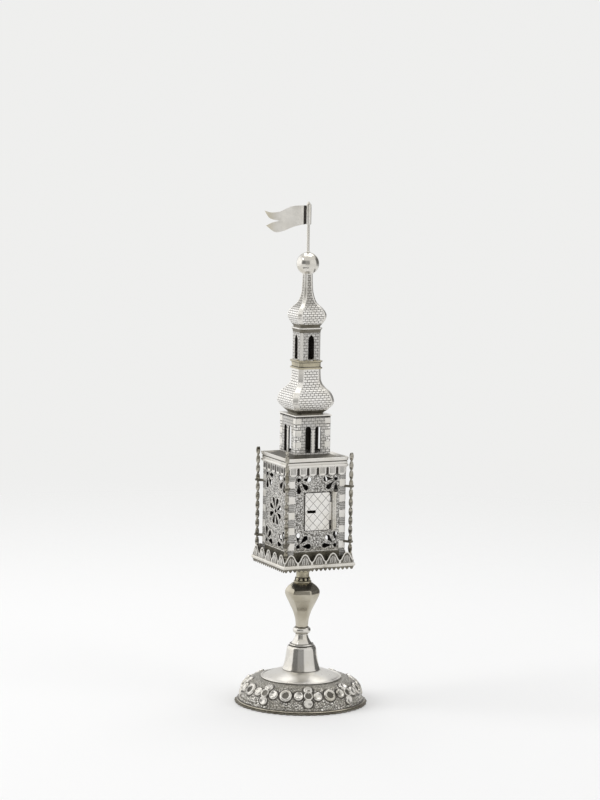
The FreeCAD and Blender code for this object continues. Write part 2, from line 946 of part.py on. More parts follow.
def upper_cornice():
    """Stepped moulding with a thin plate over the upper lantern."""
    plate_low = cornice_top - cornice_plate
    foot = chamfered_prism(turret_half + cornice_foot / 2, turret_chamfer, turret_top, plate_low)
    plate = chamfered_prism(turret_half + cornice_projection, turret_chamfer, plate_low, cornice_top)
    return foot.fuse(plate)


def small_onion():
    """Small chamfered dome with a long neck."""
    return onion(small_onion_form, cornice_top)


def finial_ball():
    """Ball with a flat seat on the neck and one for the pole."""
    low = Vector(ball_seat_radius, 0, small_onion_top)
    side = Vector(ball_radius, 0, ball_centre)
    high = Vector(pole_radius, 0, ball_top)
    edges = section_lines([
        (pole_radius, ball_top),
        (0, ball_top),
        (0, small_onion_top),
        (ball_seat_radius, small_onion_top),
    ])
    return lathe(edges + [arc(low, side, high)])


def flag_pole():
    """Pole with a shoulder, a thinner pin for the sleeve and a knob that keeps it on."""
    knob_bottom = vane_seat + sleeve_height + vane_end_gap
    knob_middle = knob_bottom + knob_height / 2
    return turned([
        (0, ball_top),
        (pole_radius, ball_top),
        (pole_radius, vane_seat),
        (vane_pin_radius, vane_seat),
        (vane_pin_radius, knob_bottom),
        (knob_radius, knob_middle),
        (0, knob_bottom + knob_height),
    ])


# Pennant


def flag_sleeve():
    """Tube that turns on the pin of the pole."""
    return tube(sleeve_radius, vane_pin_radius + vane_clearance, vane_seat, sleeve_height)


def leaf_outline():
    """Swallow-tailed outline, seen from the side, as a thick slab."""
    reach = max(end[0] for _, end in leaf_edges)
    top = Vector(0, -reach, vane_seat + sleeve_height)
    last = top
    edges = []
    for middle, end in leaf_edges:
        points = [top + Vector(x, 0, -drop) for x, drop in (middle, end)]
        edges.append(arc(last, points[0], points[1]))
        last = points[1]
    edges.append(Part.makeLine(last, top))
    return Part.Face(Part.Wire(edges)).extrude(Vector(0, 2 * reach, 0))


def leaf_wave():
    """Upright sheet that sways to one side and back as it leaves the pole."""
    reach = max(end[0] for _, end in leaf_edges) + leaf_thickness
    low = vane_seat - sleeve_height
    sides = []
    for offset in (-leaf_thickness / 2, leaf_thickness / 2):
        first = arc(Vector(0, offset, low), Vector(reach / 4, leaf_sway + offset, low), Vector(reach / 2, offset, low))
        middle = Vector(0.75 * reach, offset - leaf_sway, low)
        second = arc(Vector(reach / 2, offset, low), middle, Vector(reach, offset, low))
        sides += [first, second]
    half = Vector(0, leaf_thickness / 2, 0)
    for x in (0, reach):
        sides.append(Part.makeLine(Vector(x, 0, low) - half, Vector(x, 0, low) + half))
    face = Part.Face(Part.Wire(Part.__sortEdges__(sides)))
    return face.extrude(Vector(0, 0, 3 * sleeve_height))


def flag_leaf():
    """Pennant soldered to its sleeve."""
    leaf = leaf_wave().common(leaf_outline())
    room_bottom = Vector(0, 0, vane_seat - sleeve_height)
    sleeve_room = Part.makeCylinder(sleeve_radius + leaf_root_gap, 3 * sleeve_height, room_bottom)
    return turn(leaf.cut(sleeve_room), leaf_heading)


def build():
    """Every piece of the tower under its name."""
    parts = {
        "foot_rim": foot_rim(),
        "foot_dome": foot_dome(),
        "foot_florets": foot_florets(),
        "foot_disc": foot_disc(),
        "foot_bell": foot_bell(),
        "stem_socket": stem_socket(),
        "stem_ring": stem_ring(),
        "stem_knop": stem_knop(),
        "stem_collar": stem_collar(),
        "base_plate": base_plate(),
        "wall_front": door_wall(),
        "column_ties": column_ties(),
        "door_leaf": door_leaf(),
        "hinge_strap": hinge_strap(),
        "hinge_pin": hinge_pin(),
        "roof_plate": roof_plate(),
        "lower_lantern": lower_lantern(),
        "lower_cap": lower_cap(),
        "big_onion": big_onion(),
        "upper_gallery": upper_gallery(),
        "upper_lantern": upper_lantern(),
        "upper_cornice": upper_cornice(),
        "small_onion": small_onion(),
        "finial_ball": finial_ball(),
        "flag_pole": flag_pole(),
        "flag_sleeve": flag_sleeve(),
        "flag_leaf": flag_leaf(),
    }
    parts.update(all_sides("base_wire", base_wire()))
    parts.update(all_sides("cresting", cresting()))
    parts.update(all_sides("fringe", fringe()))
    parts.update(all_sides("frieze", frieze()))
    parts.update(all_sides("frieze_bead", frieze_bead()))
    parts.update(all_sides("parapet", parapet()))
    wall = pierced_wall()
    for side in ("right", "back", "left"):
        parts[f"wall_{side}"] = turn(wall, SIDES[side])
    for corner, angle in CORNERS.items():
        tall = front_left_column_height if corner == "front_left" else column_height
        parts[f"column_{corner}"] = corner_column(angle, tall)
    return parts


os.makedirs("parts", exist_ok=True)
for name, shape in build().items():
    shape.exportStep(f"parts/{name}.step")
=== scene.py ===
from math import atan, atan2, cos, degrees, hypot, pi, radians, sin, sqrt

import bmesh
import bpy
from bpy.props import FloatProperty, FloatVectorProperty, IntProperty, PointerProperty
from mathutils import Matrix, Vector, noise


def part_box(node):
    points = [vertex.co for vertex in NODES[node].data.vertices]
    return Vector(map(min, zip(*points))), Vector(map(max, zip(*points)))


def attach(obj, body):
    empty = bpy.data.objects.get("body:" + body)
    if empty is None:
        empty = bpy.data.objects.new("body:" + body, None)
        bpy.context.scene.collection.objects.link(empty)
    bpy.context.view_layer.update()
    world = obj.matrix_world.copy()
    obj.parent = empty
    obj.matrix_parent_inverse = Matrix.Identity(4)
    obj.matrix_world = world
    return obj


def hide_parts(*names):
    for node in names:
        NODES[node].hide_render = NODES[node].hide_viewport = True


bl_info = {
    "name": "Silver spice tower",
    "version": (1, 0, 0),
    "blender": (4, 5, 0),
    "location": "View3D > Sidebar > Spice tower",
    "description": "Builds the finished pieces of a silver spice tower around its packed frame",
    "category": "Object",
}

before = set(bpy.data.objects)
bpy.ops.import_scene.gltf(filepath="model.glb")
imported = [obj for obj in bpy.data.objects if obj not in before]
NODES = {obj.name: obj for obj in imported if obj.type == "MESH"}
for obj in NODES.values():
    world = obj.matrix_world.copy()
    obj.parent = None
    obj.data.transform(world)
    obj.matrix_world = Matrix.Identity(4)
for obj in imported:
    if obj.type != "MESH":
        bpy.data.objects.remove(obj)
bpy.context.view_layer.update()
MM = 0.001
SIDES = ("front", "right", "back", "left")
MATERIALS = {}


def low(node):
    """Lowest corner of a node, in millimetres."""
    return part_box(node)[0] / MM


def high(node):
    """Highest corner of a node, in millimetres."""
    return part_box(node)[1] / MM


def four(name):
    """The four nodes of a strip that runs round the box."""
    return [f"{name}_{side}" for side in SIDES]


# Levels and reaches taken from the frame, in millimetres
RIM_RADIUS = high("foot_rim").x
DOME_RADIUS = high("foot_dome").x
DOME_TOP = high("foot_dome").z
SHOULDER = 11.0
SHOULDER_REACH = DOME_RADIUS - SHOULDER
SHOULDER_LOW = DOME_TOP - SHOULDER
DISC_RADIUS = high("foot_disc").x
DISC_TOP = high("foot_disc").z
BELL_TOP = high("foot_bell").z
SOCKET_TOP = high("stem_socket").z
RING_TOP = high("stem_ring").z
KNOP_TOP = high("stem_knop").z
PLATE_LOW = low("base_plate").z
PLATE_TOP = high("base_plate").z
PLATE_HALF = high("base_plate").x
BOX_HALF = high("wall_right").x
BOX_TOP = high("wall_right").z
ROOF_TOP = high("roof_plate").z
LANTERN_TOP = high("lower_lantern").z
LANTERN_HALF = high("lower_lantern").x
CAP_TOP = high("lower_cap").z
BIG_ONION_TOP = high("big_onion").z
GALLERY_TOP = high("upper_gallery").z
TURRET_TOP = high("upper_lantern").z
TURRET_HALF = high("upper_lantern").x
CORNICE_TOP = high("upper_cornice").z
SMALL_ONION_TOP = high("small_onion").z
BALL_TOP = high("finial_ball").z
BALL_RADIUS = high("finial_ball").x
SLEEVE_LOW = low("flag_sleeve").z
SLEEVE_TOP = high("flag_sleeve").z


def length(name, description, millimetres):
    """Length setting with its default in millimetres."""
    return FloatProperty(name=name, description=description, default=millimetres * MM, unit="LENGTH",
                         precision=5)


class TowerFootSizes(bpy.types.PropertyGroup):
    florets: IntProperty(name="Florets", description="Embossed florets round the foot", default=8)
    petal_width: length("Petal width", "Width of one floret petal", 5.7)
    stud_width: length("Stud width", "Width of a round stud", 7.7)
    slope: FloatProperty(name="Slope", description="Height of the florets on the shoulder",
                         default=radians(35.5), subtype="ANGLE")
    rim_lobes: IntProperty(name="Rim lobes", description="Lobes round the edge of the rim", default=60)


class TowerBoxSizes(bpy.types.PropertyGroup):
    quoin_height: length("Corner block", "Height of one corner block", 4.6)
    arches: IntProperty(name="Arches", description="Cresting arches on each side", default=5)
    teeth: IntProperty(name="Teeth", description="Fringe teeth on each side", default=16)
    tabs: IntProperty(name="Tabs", description="Frieze tabs on each side", default=6)
    column_turns: IntProperty(name="Column half turns", description="Half turns in each column", default=12)


class TowerFinish(bpy.types.PropertyGroup):
    silver: FloatVectorProperty(
        name="Silver", description="Colour of clean old silver", default=(0.78, 0.763, 0.73), subtype="COLOR",
        min=0, max=1)
    tarnish: FloatVectorProperty(
        name="Tarnish", description="Colour of the dark patina in the cuts", default=(0.055, 0.048, 0.042),
        subtype="COLOR", min=0, max=1)
    straw: FloatVectorProperty(
        name="Straw tint", description="Colour where solder tints the silver", default=(0.66, 0.60, 0.44),
        subtype="COLOR", min=0, max=1)


# Mesh helpers. Shapes are made in millimetres and brought to metres when a piece is finished.


def placed(name, data):
    """New object in the scene."""
    thing = bpy.data.objects.new(name, data)
    bpy.context.scene.collection.objects.link(thing)
    return thing


def as_mesh(name, bm):
    """Mesh from a finished bmesh."""
    mesh = bpy.data.meshes.new(name)
    bm.to_mesh(mesh)
    bm.free()
    return mesh


def collect(name, bm, materials, replaces=(), body="tower", sharp=38):
    """Turn a finished bmesh into a piece that rides on its body."""
    bmesh.ops.recalc_face_normals(bm, faces=bm.faces[:])
    bmesh.ops.scale(bm, vec=(MM, MM, MM), verts=bm.verts[:])
    mesh = as_mesh(name, bm)
    for material in materials:
        mesh.materials.append(MATERIALS[material])
    mesh.polygons.foreach_set("use_smooth", [True] * len(mesh.polygons))
    mesh.set_sharp_from_angle(angle=radians(sharp))
    piece = placed(name, mesh)
    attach(piece, body)
    if replaces:
        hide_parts(*replaces)


def smooth_path(points, parts=6):
    """Points of a smooth line that runs through the given ones."""
    points = [Vector(p) for p in points]
    if len(points) < 3:
        return points
    ends = [points[0] * 2 - points[1]] + points + [points[-1] * 2 - points[-2]]
    path = []
    for a, b, c, d in zip(ends, ends[1:], ends[2:], ends[3:]):
        for step in range(parts):
            t = step / parts
            path.append(0.5 * (2 * b + (c - a) * t + (2 * a - 5 * b + 4 * c - d) * t * t
                               + (3 * b - a - 3 * c + d) * t ** 3))
    return path + [points[-1]]


def profile(start, *runs, base=0.0):
    """One path of smooth runs that meet at sharp corners, each going on from where the last one ends."""
    path = [Vector(start)]
    for run in runs:
        path += smooth_path([path[-1]] + run)[1:]
    return [Vector((radius, base + height)) for radius, height in path]


def mirrored(side, width):
    """Half an outline and its mirror image, as (x, y) points across a width."""
    return [(p.x, p.y) for p in side] + [(width - p.x, p.y) for p in reversed(side[:-1])]


def spun(path, steps=96, bm=None, material=0, centre=(0, 0, 0), turn=360.0):
    """Shape turned about an upright axis from (radius, height) points."""
    bm = bm or bmesh.new()
    axis = Vector(centre)
    verts = [bm.verts.new(axis + Vector((p[0], 0, p[1]))) for p in path]
    edges = [bm.edges.new(pair) for pair in zip(verts, verts[1:])]
    before = set(bm.faces)
    bmesh.ops.spin(bm, geom=verts + edges, cent=axis, axis=(0, 0, 1), angle=radians(turn), steps=steps,
                   use_merge=turn >= 360)
    for face in bm.faces:
        if face not in before:
            face.material_index = material
    bmesh.ops.remove_doubles(bm, verts=bm.verts[:], dist=1e-4)
    return bm


def around(bm, copies=4):
    """Repeat everything round the upright axis."""
    bmesh.ops.spin(bm, geom=bm.verts[:] + bm.edges[:] + bm.faces[:], cent=(0, 0, 0), axis=(0, 0, 1),
                   angle=2 * pi * (copies - 1) / copies, steps=copies - 1, use_duplicate=True)
    return bm


def around_sector(path, steps, copies):
    """Shape turned about the upright axis, made as one sector that is repeated."""
    bm = around(spun(path, steps, turn=360 / copies), copies)
    bmesh.ops.remove_doubles(bm, verts=bm.verts[:], dist=1e-3)
    return bm


def lofted(rings, bm=None, material=0, caps=(True, True)):
    """Skin over rings of points that all have the same count."""
    bm = bm or bmesh.new()
    loops = []
    for ring in rings:
        verts = [bm.verts.new(p) for p in ring]
        loops.append((verts, [bm.edges.new((a, b)) for a, b in zip(verts, verts[1:] + verts[:1])]))
    faces = []
    for (_, first), (_, second) in zip(loops, loops[1:]):
        faces += bmesh.ops.bridge_loops(bm, edges=first + second)["faces"]
    for cap, (verts, _) in zip(caps, (loops[0], loops[-1])):
        if cap:
            faces.append(bm.faces.new(verts))
    for face in faces:
        face.material_index = material
    return bm


def square_ring(half, z):
    """Corners of a level square."""
    return [(-half, -half, z), (half, -half, z), (half, half, z), (-half, half, z)]


def chamfered_ring(half, chamfer, z):
    """Corners of a level square whose corners are cut."""
    cut = chamfer / sqrt(2)
    inner = half - cut
    return [(-inner, -half, z), (inner, -half, z), (half, -inner, z), (half, inner, z),
            (inner, half, z), (-inner, half, z), (-half, inner, z), (-half, -inner, z)]


def square_band(section, bm=None, material=0):
    """Moulding round a square from a closed section of (half, height) points."""
    rings = [square_ring(half, z) for half, z in section]
    return lofted(rings + rings[:1], bm, material, (False, False))


def half_round_section(half, depth, bottom, height, steps=8):
    """Section of a half-round wire lying against a square of a given half side."""
    middle = bottom + height / 2
    points = [(half + depth * sin(pi * k / steps), middle - height / 2 * cos(pi * k / steps))
              for k in range(steps + 1)]
    return points + [(half - 0.05, bottom + height), (half - 0.05, bottom)]


def curve_mesh(paths, closed, **settings):
    """Mesh of a curve with straight-edged paths of (x, y, z) points."""
    curve = bpy.data.curves.new("line", "CURVE")
    for key, value in settings.items():
        setattr(curve, key, value)
    for path in paths:
        spline = curve.splines.new("POLY")
        spline.points.add(len(path) - 1)
        for point, place in zip(spline.points, path):
            point.co = (*place, 1)
        spline.use_cyclic_u = closed
    holder = bpy.data.objects.new("line", curve)
    mesh = bpy.data.meshes.new_from_object(holder)
    bpy.data.objects.remove(holder)
    bpy.data.curves.remove(curve)
    return mesh


def flat_layer(bm):
    """The UV layer that holds (x, z) places on a front, in millimetres."""
    return bm.loops.layers.uv.get("sheet") or bm.loops.layers.uv.new("sheet")


def sheet(outlines, thickness, outer, back, material=0, soft=0.0, bm=None):
    """Upright front sheet from (x, z) outlines, the first outside and the rest holes, with its outer face at
    y = -outer and another material on its back and edges."""
    bm = bm or bmesh.new()
    uv = flat_layer(bm)
    flat = [[(x, z, 0) for x, z in outline] for outline in outlines]
    mesh = curve_mesh(flat, True, dimensions="2D", fill_mode="BOTH", extrude=thickness / 2 - soft,
                      bevel_depth=soft, bevel_resolution=1, offset=-soft)
    before = set(bm.verts)
    faces_before = set(bm.faces)
    bm.from_mesh(mesh)
    bpy.data.meshes.remove(mesh)
    verts = [v for v in bm.verts if v not in before]
    bmesh.ops.remove_doubles(bm, verts=verts, dist=1e-4)
    verts = [v for v in bm.verts if v not in before]
    bmesh.ops.rotate(bm, verts=verts, cent=(0, 0, 0), matrix=Matrix.Rotation(pi / 2, 3, "X"))
    bmesh.ops.translate(bm, verts=verts, vec=(0, thickness / 2 - outer, 0))
    for face in bm.faces:
        if face in faces_before:
            continue
        face.normal_update()
        inside = abs(face.calc_center_median().y - thickness + outer) < 1e-3
        face.material_index = back if inside or abs(face.normal.y) < 0.5 else material
        for loop in face.loops:
            loop[uv].uv = (loop.vert.co.x, loop.vert.co.z)
    return bm


def wire(bm, paths, radius, material=0, closed=True):
    """Round wires that follow (x, y, z) paths."""
    mesh = curve_mesh(paths, closed, dimensions="3D", bevel_depth=radius, bevel_resolution=1,
                      use_fill_caps=True)
    faces_before = set(bm.faces)
    bm.from_mesh(mesh)
    bpy.data.meshes.remove(mesh)
    for face in bm.faces:
        if face not in faces_before:
            face.material_index = material


def bevelled(bm, edges, offset, segments=1):
    """Round some edges of a shape."""
    bmesh.ops.bevel(bm, geom=edges, offset=offset, offset_type="OFFSET", affect="EDGES", segments=segments,
                    profile=0.5, material=-1, clamp_overlap=True)


def plate(bm, points, thickness, outer, material=0, border=0.0, sink=0.0, field=0, soft=0.08):
    """Raised front plate with an outline of (x, z) points, and a sunk field inside a border."""
    uv = flat_layer(bm)
    faces_before = set(bm.faces)
    back = bm.faces.new([bm.verts.new((x, -outer + thickness, z)) for x, z in points])
    result = bmesh.ops.extrude_face_region(bm, geom=[back], use_keep_orig=True)
    front_verts = [item for item in result["geom"] if isinstance(item, bmesh.types.BMVert)]
    front = [item for item in result["geom"] if isinstance(item, bmesh.types.BMFace)]
    bmesh.ops.translate(bm, verts=front_verts, vec=(0, -thickness, 0))
    if soft:
        bevelled(bm, list(front[0].edges), soft)
        front = [max((f for f in bm.faces if f not in faces_before and f is not back and f.is_valid
                      and abs(f.calc_center_median().y + outer) < 1e-3), key=lambda f: f.calc_area())]
    if border:
        bmesh.ops.recalc_face_normals(bm, faces=[f for f in bm.faces if f not in faces_before])
        bmesh.ops.inset_region(bm, faces=front, thickness=border, depth=0, use_even_offset=True)
        bmesh.ops.inset_region(bm, faces=front, thickness=sink * 0.6, depth=-sink, use_even_offset=True)
    for face in bm.faces:
        if face in faces_before:
            continue
        face.material_index = material
        for loop in face.loops:
            loop[uv].uv = (loop.vert.co.x, loop.vert.co.z)
    if border:
        for face in front:
            face.material_index = field


def corner_blocks(bm, half, bottom, height, count, widths, gaps, materials):
    """Raised blocks up both edges of a front, in turn of one width and material and of another."""
    across, up = gaps
    for edge in (-1, 1):
        for index in range(count):
            left, right = sorted((edge * (half - 0.02), edge * (half - widths[index % 2])))
            z = bottom + index * height
            block = rectangle(left + across, right - across, z + up, z + height - up)
            plate(bm, block, 0.14, half + 0.12, materials[index % 2], soft=0.06)


def layered(bm, *spans):
    """Give the faces that lie between two heights a material of their own, from (low, high, index)."""
    for face in bm.faces:
        level = face.calc_center_median().z
        for start, end, index in spans:
            if start < level < end:
                face.material_index = index
    return bm


def turned_bm(bm, angle, verts=None):
    """Turn a shape about the upright axis."""
    turn = Matrix.Rotation(radians(angle), 3, "Z")
    bmesh.ops.rotate(bm, verts=verts or bm.verts[:], cent=(0, 0, 0), matrix=turn)
    return bm


# Material helpers


class Nodes:
    """Shader nodes of a material or world, linked as they are made."""

    def __init__(self, owner):
        owner.use_nodes = True
        self.tree = owner.node_tree
        self.tree.nodes.clear()

    def put(self, socket, value):
        """Link an input to another node's output, or set it."""
        if isinstance(value, bpy.types.NodeSocket):
            self.tree.links.new(value, socket)
        elif socket.type == "RGBA" and len(value) == 3:
            socket.default_value = (*value, 1)
        else:
            socket.default_value = value

    def add(self, kind, inputs=None, output=0, **settings):
        """Make a node with inputs by name or number, and give one of its outputs, if it has any."""
        node = self.tree.nodes.new("ShaderNode" + kind)
        for key, value in settings.items():
            setattr(node, key, value)
        for key, value in (inputs or {}).items():
            self.put(node.inputs[key], value)
        return node.outputs[output] if node.outputs else None


class Finish(Nodes):
    """A metal finish whose colour, roughness and relief come from procedural nodes."""

    def __init__(self, name, uv=False, metallic=0.7):
        MATERIALS[name] = bpy.data.materials.new(f"silver_{name}")
        super().__init__(MATERIALS[name])
        self.metallic = metallic
        self.normal = None
        metres = self.add("TexCoord", output="Object")
        self.place = self.add("VectorMath", {0: metres, "Scale": 1 / MM}, operation="SCALE")
        if uv:
            self.flat = self.add("UVMap", uv_map="sheet")

    def math(self, operation, *values):
        return self.add("Math", dict(enumerate(values)), operation=operation)

    def noise(self, scale, detail=2.0):
        return self.add("TexNoise", {"Vector": self.place, "Scale": scale, "Detail": detail}, "Fac")

    def cells(self, scale, place):
        """Distance to the edges of irregular cells."""
        return self.add("TexVoronoi", {"Vector": place, "Scale": scale}, "Distance",
                        feature="DISTANCE_TO_EDGE")

    def bricks(self, width, height, mortar, place):
        """Joints of a wall of bricks."""
        sizes = {"Mortar Size": mortar, "Mortar Smooth": 0.4, "Brick Width": width, "Row Height": height}
        return self.add("TexBrick", {"Vector": place, "Scale": 1.0, **sizes}, "Fac")

    def span(self, value, start, end, low_value=0.0, high_value=1.0):
        """Even blend from one value to another while the input crosses a range."""
        values = dict(enumerate((value, start, end, low_value, high_value)))
        return self.add("MapRange", values, interpolation_type="SMOOTHSTEP")

    def mix(self, factor, first, second):
        return self.add("Mix", {0: factor, 6: first, 7: second}, 2, data_type="RGBA")

    def attribute(self, name):
        return self.add("Attribute", output="Fac", attribute_name=name)

    def axis(self, vector, name):
        return self.add("SeparateXYZ", {0: vector}, name)

    def bend(self, vector, amount, scale):
        """Shift a vector a little by a soft noise, as a hand-cut line wanders."""
        wander = self.add("TexNoise", {"Vector": vector, "Scale": scale, "Detail": 1.0}, "Color")
        centred = self.add("VectorMath", {0: wander, 1: (0.5, 0.5, 0.5)}, operation="SUBTRACT")
        return self.add("VectorMath", {0: centred, 1: (amount,) * 3, 2: vector}, operation="MULTIPLY_ADD")

    def relief(self, heights, distance=0.1):
        """Bumps from a list of (height, strength), one on top of the other."""
        for height, strength in heights:
            inputs = {"Strength": strength, "Distance": distance * MM, "Height": height}
            if self.normal:
                inputs["Normal"] = self.normal
            self.normal = self.add("Bump", inputs)

    def surface(self, colour, roughness):
        """Close the material with its shader."""
        shader = self.add("BsdfPrincipled", {"Metallic": self.metallic, "Base Color": colour,
                                             "Roughness": roughness, "Normal": self.normal})
        self.add("OutputMaterial", {0: shader})


def tone(colour, factor, warm=0.0):
    """A lighter or darker colour, shifted a little towards yellow."""
    return (min(1, colour[0] * factor * (1 + 0.4 * warm)), min(1, colour[1] * factor),
            max(0, colour[2] * factor * (1 - warm)))


def aged(finish, clean, tint, dark, roughness, dark_amount):
    """Clean silver with straw patches and soft tarnish, and its roughness."""
    tinted = finish.mix(finish.span(finish.noise(0.09, 2.0), 0.42, 0.72), clean, tint)
    patch = finish.math("MULTIPLY", finish.span(finish.noise(0.16, 3.0), 0.55, 0.8), dark_amount)
    rough = finish.math("MULTIPLY_ADD", finish.noise(0.5, 3.0), 0.12, roughness - 0.06)
    return finish.mix(patch, tinted, dark), rough


def plain_finishes(silver, tarnish, straw, smoke_and_shade):
    """Finishes of smooth metal, from their name, clean colour, tint, dark colour, roughness, share of tarnish,
    strength and scale of the bumps, and metallic share."""
    for name, clean, tint, dark, roughness, dark_amount, bump, size, metallic in (
            ("bright", (silver, 0.90, 0.03), (silver, 0.82, 0.08), smoke_and_shade, 0.13, 0.25, 0.05, 0.12, 0.88),
            ("mellow", (silver, 0.64, 0.14), (silver, 0.50, 0.18), smoke_and_shade, 0.17, 0.45, 0.05, 0.3, 0.88),
            ("satin", (silver, 0.94, 0.02), (silver, 0.88, 0.05), smoke_and_shade, 0.30, 0.30, 0.08, 0.3, 0.8),
            ("pale", (silver, 1.0, 0.01), (silver, 0.92, 0.04), smoke_and_shade, 0.38, 0.35, 0.15, 0.9, 0.7),
            ("wire", (silver, 0.86, 0.04), (silver, 0.74, 0.10), smoke_and_shade, 0.28, 0.50, 0.10, 0.8, 0.8),
            # Dark finish: painted shade under the onions and the cornice, in the gallery's narrow bands and at
            # the ends of the stem's bead; also the dark of the rim's edge, the fringe and the ties.
            ("edge", (silver, 0.22, 0.16), (silver, 0.13, 0.22), tarnish, 0.42, 0.70, 0.30, 1.2, 0.7),
            ("column", (silver, 0.50, 0.10), (straw, 0.36), tarnish, 0.12, 0.95, 0.08, 1.2, 0.95),
            ("straw", (straw, 0.72), (straw, 0.5), tarnish, 0.36, 0.80, 0.40, 1.2, 0.75),
            # Darkest smooth finish: patina in hollows and grooves, and also painted shade in the joints between
            # pieces and a painted dark reflection on the roof plate.
            ("smoke_and_shade", (silver, 0.18, 0.10), (silver, 0.12, 0.14), tarnish, 0.42, 0.60, 0.20, 1.0, 0.8),
            ("flower", (silver, 0.90, 0.03), (silver, 0.66, 0.10), tarnish, 0.24, 0.80, 0.30, 0.8, 0.8)):
        finish = Finish(name, metallic=metallic)
        colour, rough = aged(finish, tone(*clean), tone(*tint), dark, roughness, dark_amount)
        finish.relief([(finish.noise(size, 2.0), bump)])
        finish.surface(colour, rough)


def make_finishes(colours):
    """Every metal finish of the tower."""
    silver, tarnish, straw = tuple(colours.silver), tuple(colours.tarnish), tuple(colours.straw)
    smoke_and_shade = tone(silver, 0.42, 0.10)
    plain_finishes(silver, tarnish, straw, smoke_and_shade)

    # Dark finish in the tarnish colour: patina in cuts, notches and slits, and also painted shade and shadow
    # inside the box and the lanterns, in the gap round the door, under the disc's lip, on the root of the
    # pennant and under the lower lantern's cap.
    recess = Finish("recess")
    recess.relief([(recess.noise(2.0, 3.0), 0.3)])
    recess.surface(recess.mix(recess.noise(0.7, 3.0), tone(tarnish, 0.5), tone(tarnish, 1.2)), 0.62)

    leaf = Finish("leaf", metallic=0.45)
    worn = tone(silver, 0.66, 0.08)
    base, rough = aged(leaf, tone(silver, 1.02, 0.03), tone(silver, 0.88, 0.05), worn, 0.42, 0.5)
    tip = leaf.span(leaf.axis(leaf.place, "X"), -15.5, -22.0, 0.0, 0.7)
    leaf.relief([(leaf.noise(0.3, 2.0), 0.05)])
    leaf.surface(leaf.mix(tip, base, tone(straw, 0.85)), rough)

    dome = Finish("matted", metallic=0.65)
    dots = dome.span(dome.cells(0.75, dome.bend(dome.place, 0.9, 0.8)), 0.02, 0.22)
    outline = dome.attribute("outline")
    clean_band = dome.span(dome.noise(0.13, 2.0), 0.42, 0.62)
    flecks = dome.span(dome.noise(0.9, 2.0), 0.34, 0.54)
    open_ground = dome.mix(clean_band, tone(silver, 0.85, 0.05), tone(silver, 1.25, 0.02))
    ground = dome.mix(flecks, tone(silver, 0.48, 0.12), open_ground)
    cuts = dome.mix(clean_band, tone(silver, 0.24, 0.10), tone(silver, 0.10, 0.16))
    shade = dome.span(dome.axis(dome.place, "Z"), DOME_TOP - 3.5, DOME_TOP - 0.6, 0.0, 0.4)
    colour = dome.mix(shade, dome.mix(dots, cuts, ground), tone(silver, 0.26, 0.16))
    dome.relief([(dots, 0.9), (dome.math("MULTIPLY", outline, -1.0), 0.9)], 0.25)
    dome.surface(dome.mix(outline, colour, tone(tarnish, 0.8)), 0.32)

    stipple = Finish("stippled", uv=True)
    worms = stipple.span(stipple.cells(0.64, stipple.bend(stipple.flat, 1.5, 0.8)), 0.02, 0.17)
    fine = stipple.span(stipple.cells(1.4, stipple.bend(stipple.flat, 0.8, 1.2)), 0.02, 0.16)
    level = stipple.axis(stipple.place, "Z")
    # Towards the foot of the wall the ground turns darker and more straw-coloured; the lowest band, behind the
    # cresting, is painted shade.
    lower_straw_tint = stipple.span(level, PLATE_TOP + 12.0, PLATE_TOP + 8.0, 0.0, 0.7)
    painted_foot_shade = stipple.span(level, PLATE_TOP + 8.4, PLATE_TOP + 7.0)
    body = stipple.mix(stipple.noise(0.35, 3.0), tone(silver, 0.86), tone(silver, 1.1))
    body = stipple.mix(lower_straw_tint, body, tone(straw, 0.7))
    colour = stipple.mix(worms, tone(silver, 0.12, 0.1), stipple.mix(fine, tone(silver, 0.5), body))
    stipple.relief([(worms, 0.6)], 0.15)
    stipple.surface(stipple.mix(painted_foot_shade, colour, tone(straw, 0.16)), 0.38)

    hatched = Finish("hatched", uv=True)
    rows = hatched.axis(hatched.bend(hatched.flat, 0.5, 0.8), "Y")
    lines = hatched.span(hatched.math("PINGPONG", rows, 0.5), 0.05, 0.3)
    hatched.relief([(lines, 0.5)])
    hatched.surface(hatched.mix(lines, tone(silver, 0.14, 0.1), tone(silver, 0.62)), 0.38)

    lattice = Finish("lattice", uv=True)
    flat = lattice.bend(lattice.flat, 0.8, 0.2)
    across, up = lattice.axis(flat, "X"), lattice.math("MULTIPLY", lattice.axis(flat, "Y"), 0.95)
    first = lattice.math("PINGPONG", lattice.math("ADD", across, up), 2.7)
    second = lattice.math("PINGPONG", lattice.math("SUBTRACT", across, up), 2.7)
    cut = lattice.span(lattice.math("MINIMUM", first, second), 0.07, 0.26)
    base, rough = aged(lattice, tone(silver, 1.05), tone(silver, 0.96, 0.03), smoke_and_shade, 0.36, 0.25)
    lattice.relief([(cut, 0.5), (lattice.noise(0.5, 2.0), 0.1)])
    lattice.surface(lattice.mix(cut, tone(silver, 0.2, 0.05), base), rough)

    for name, width, height, mortar, clean, joint, grain_shade in (
            ("bricks", 2.7, 1.5, 0.19, tone(silver, 1.06), tone(silver, 0.10, 0.08), 1.0),
            ("masonry", 2.8, 1.7, 0.16, tone(silver, 0.82), tone(silver, 0.13, 0.08), 0.4)):
        brick = Finish(name, uv=True)
        joints = brick.bricks(width, height, mortar, brick.bend(brick.flat, 0.3, 0.5))
        grain = brick.span(brick.cells(2.2, brick.bend(brick.flat, 0.4, 2.0)), 0.0, 0.12)
        base, rough = aged(brick, clean, tone(clean, 0.9, 0.05), smoke_and_shade, 0.38, 0.35)
        face = brick.mix(grain, tone(clean, grain_shade), base)
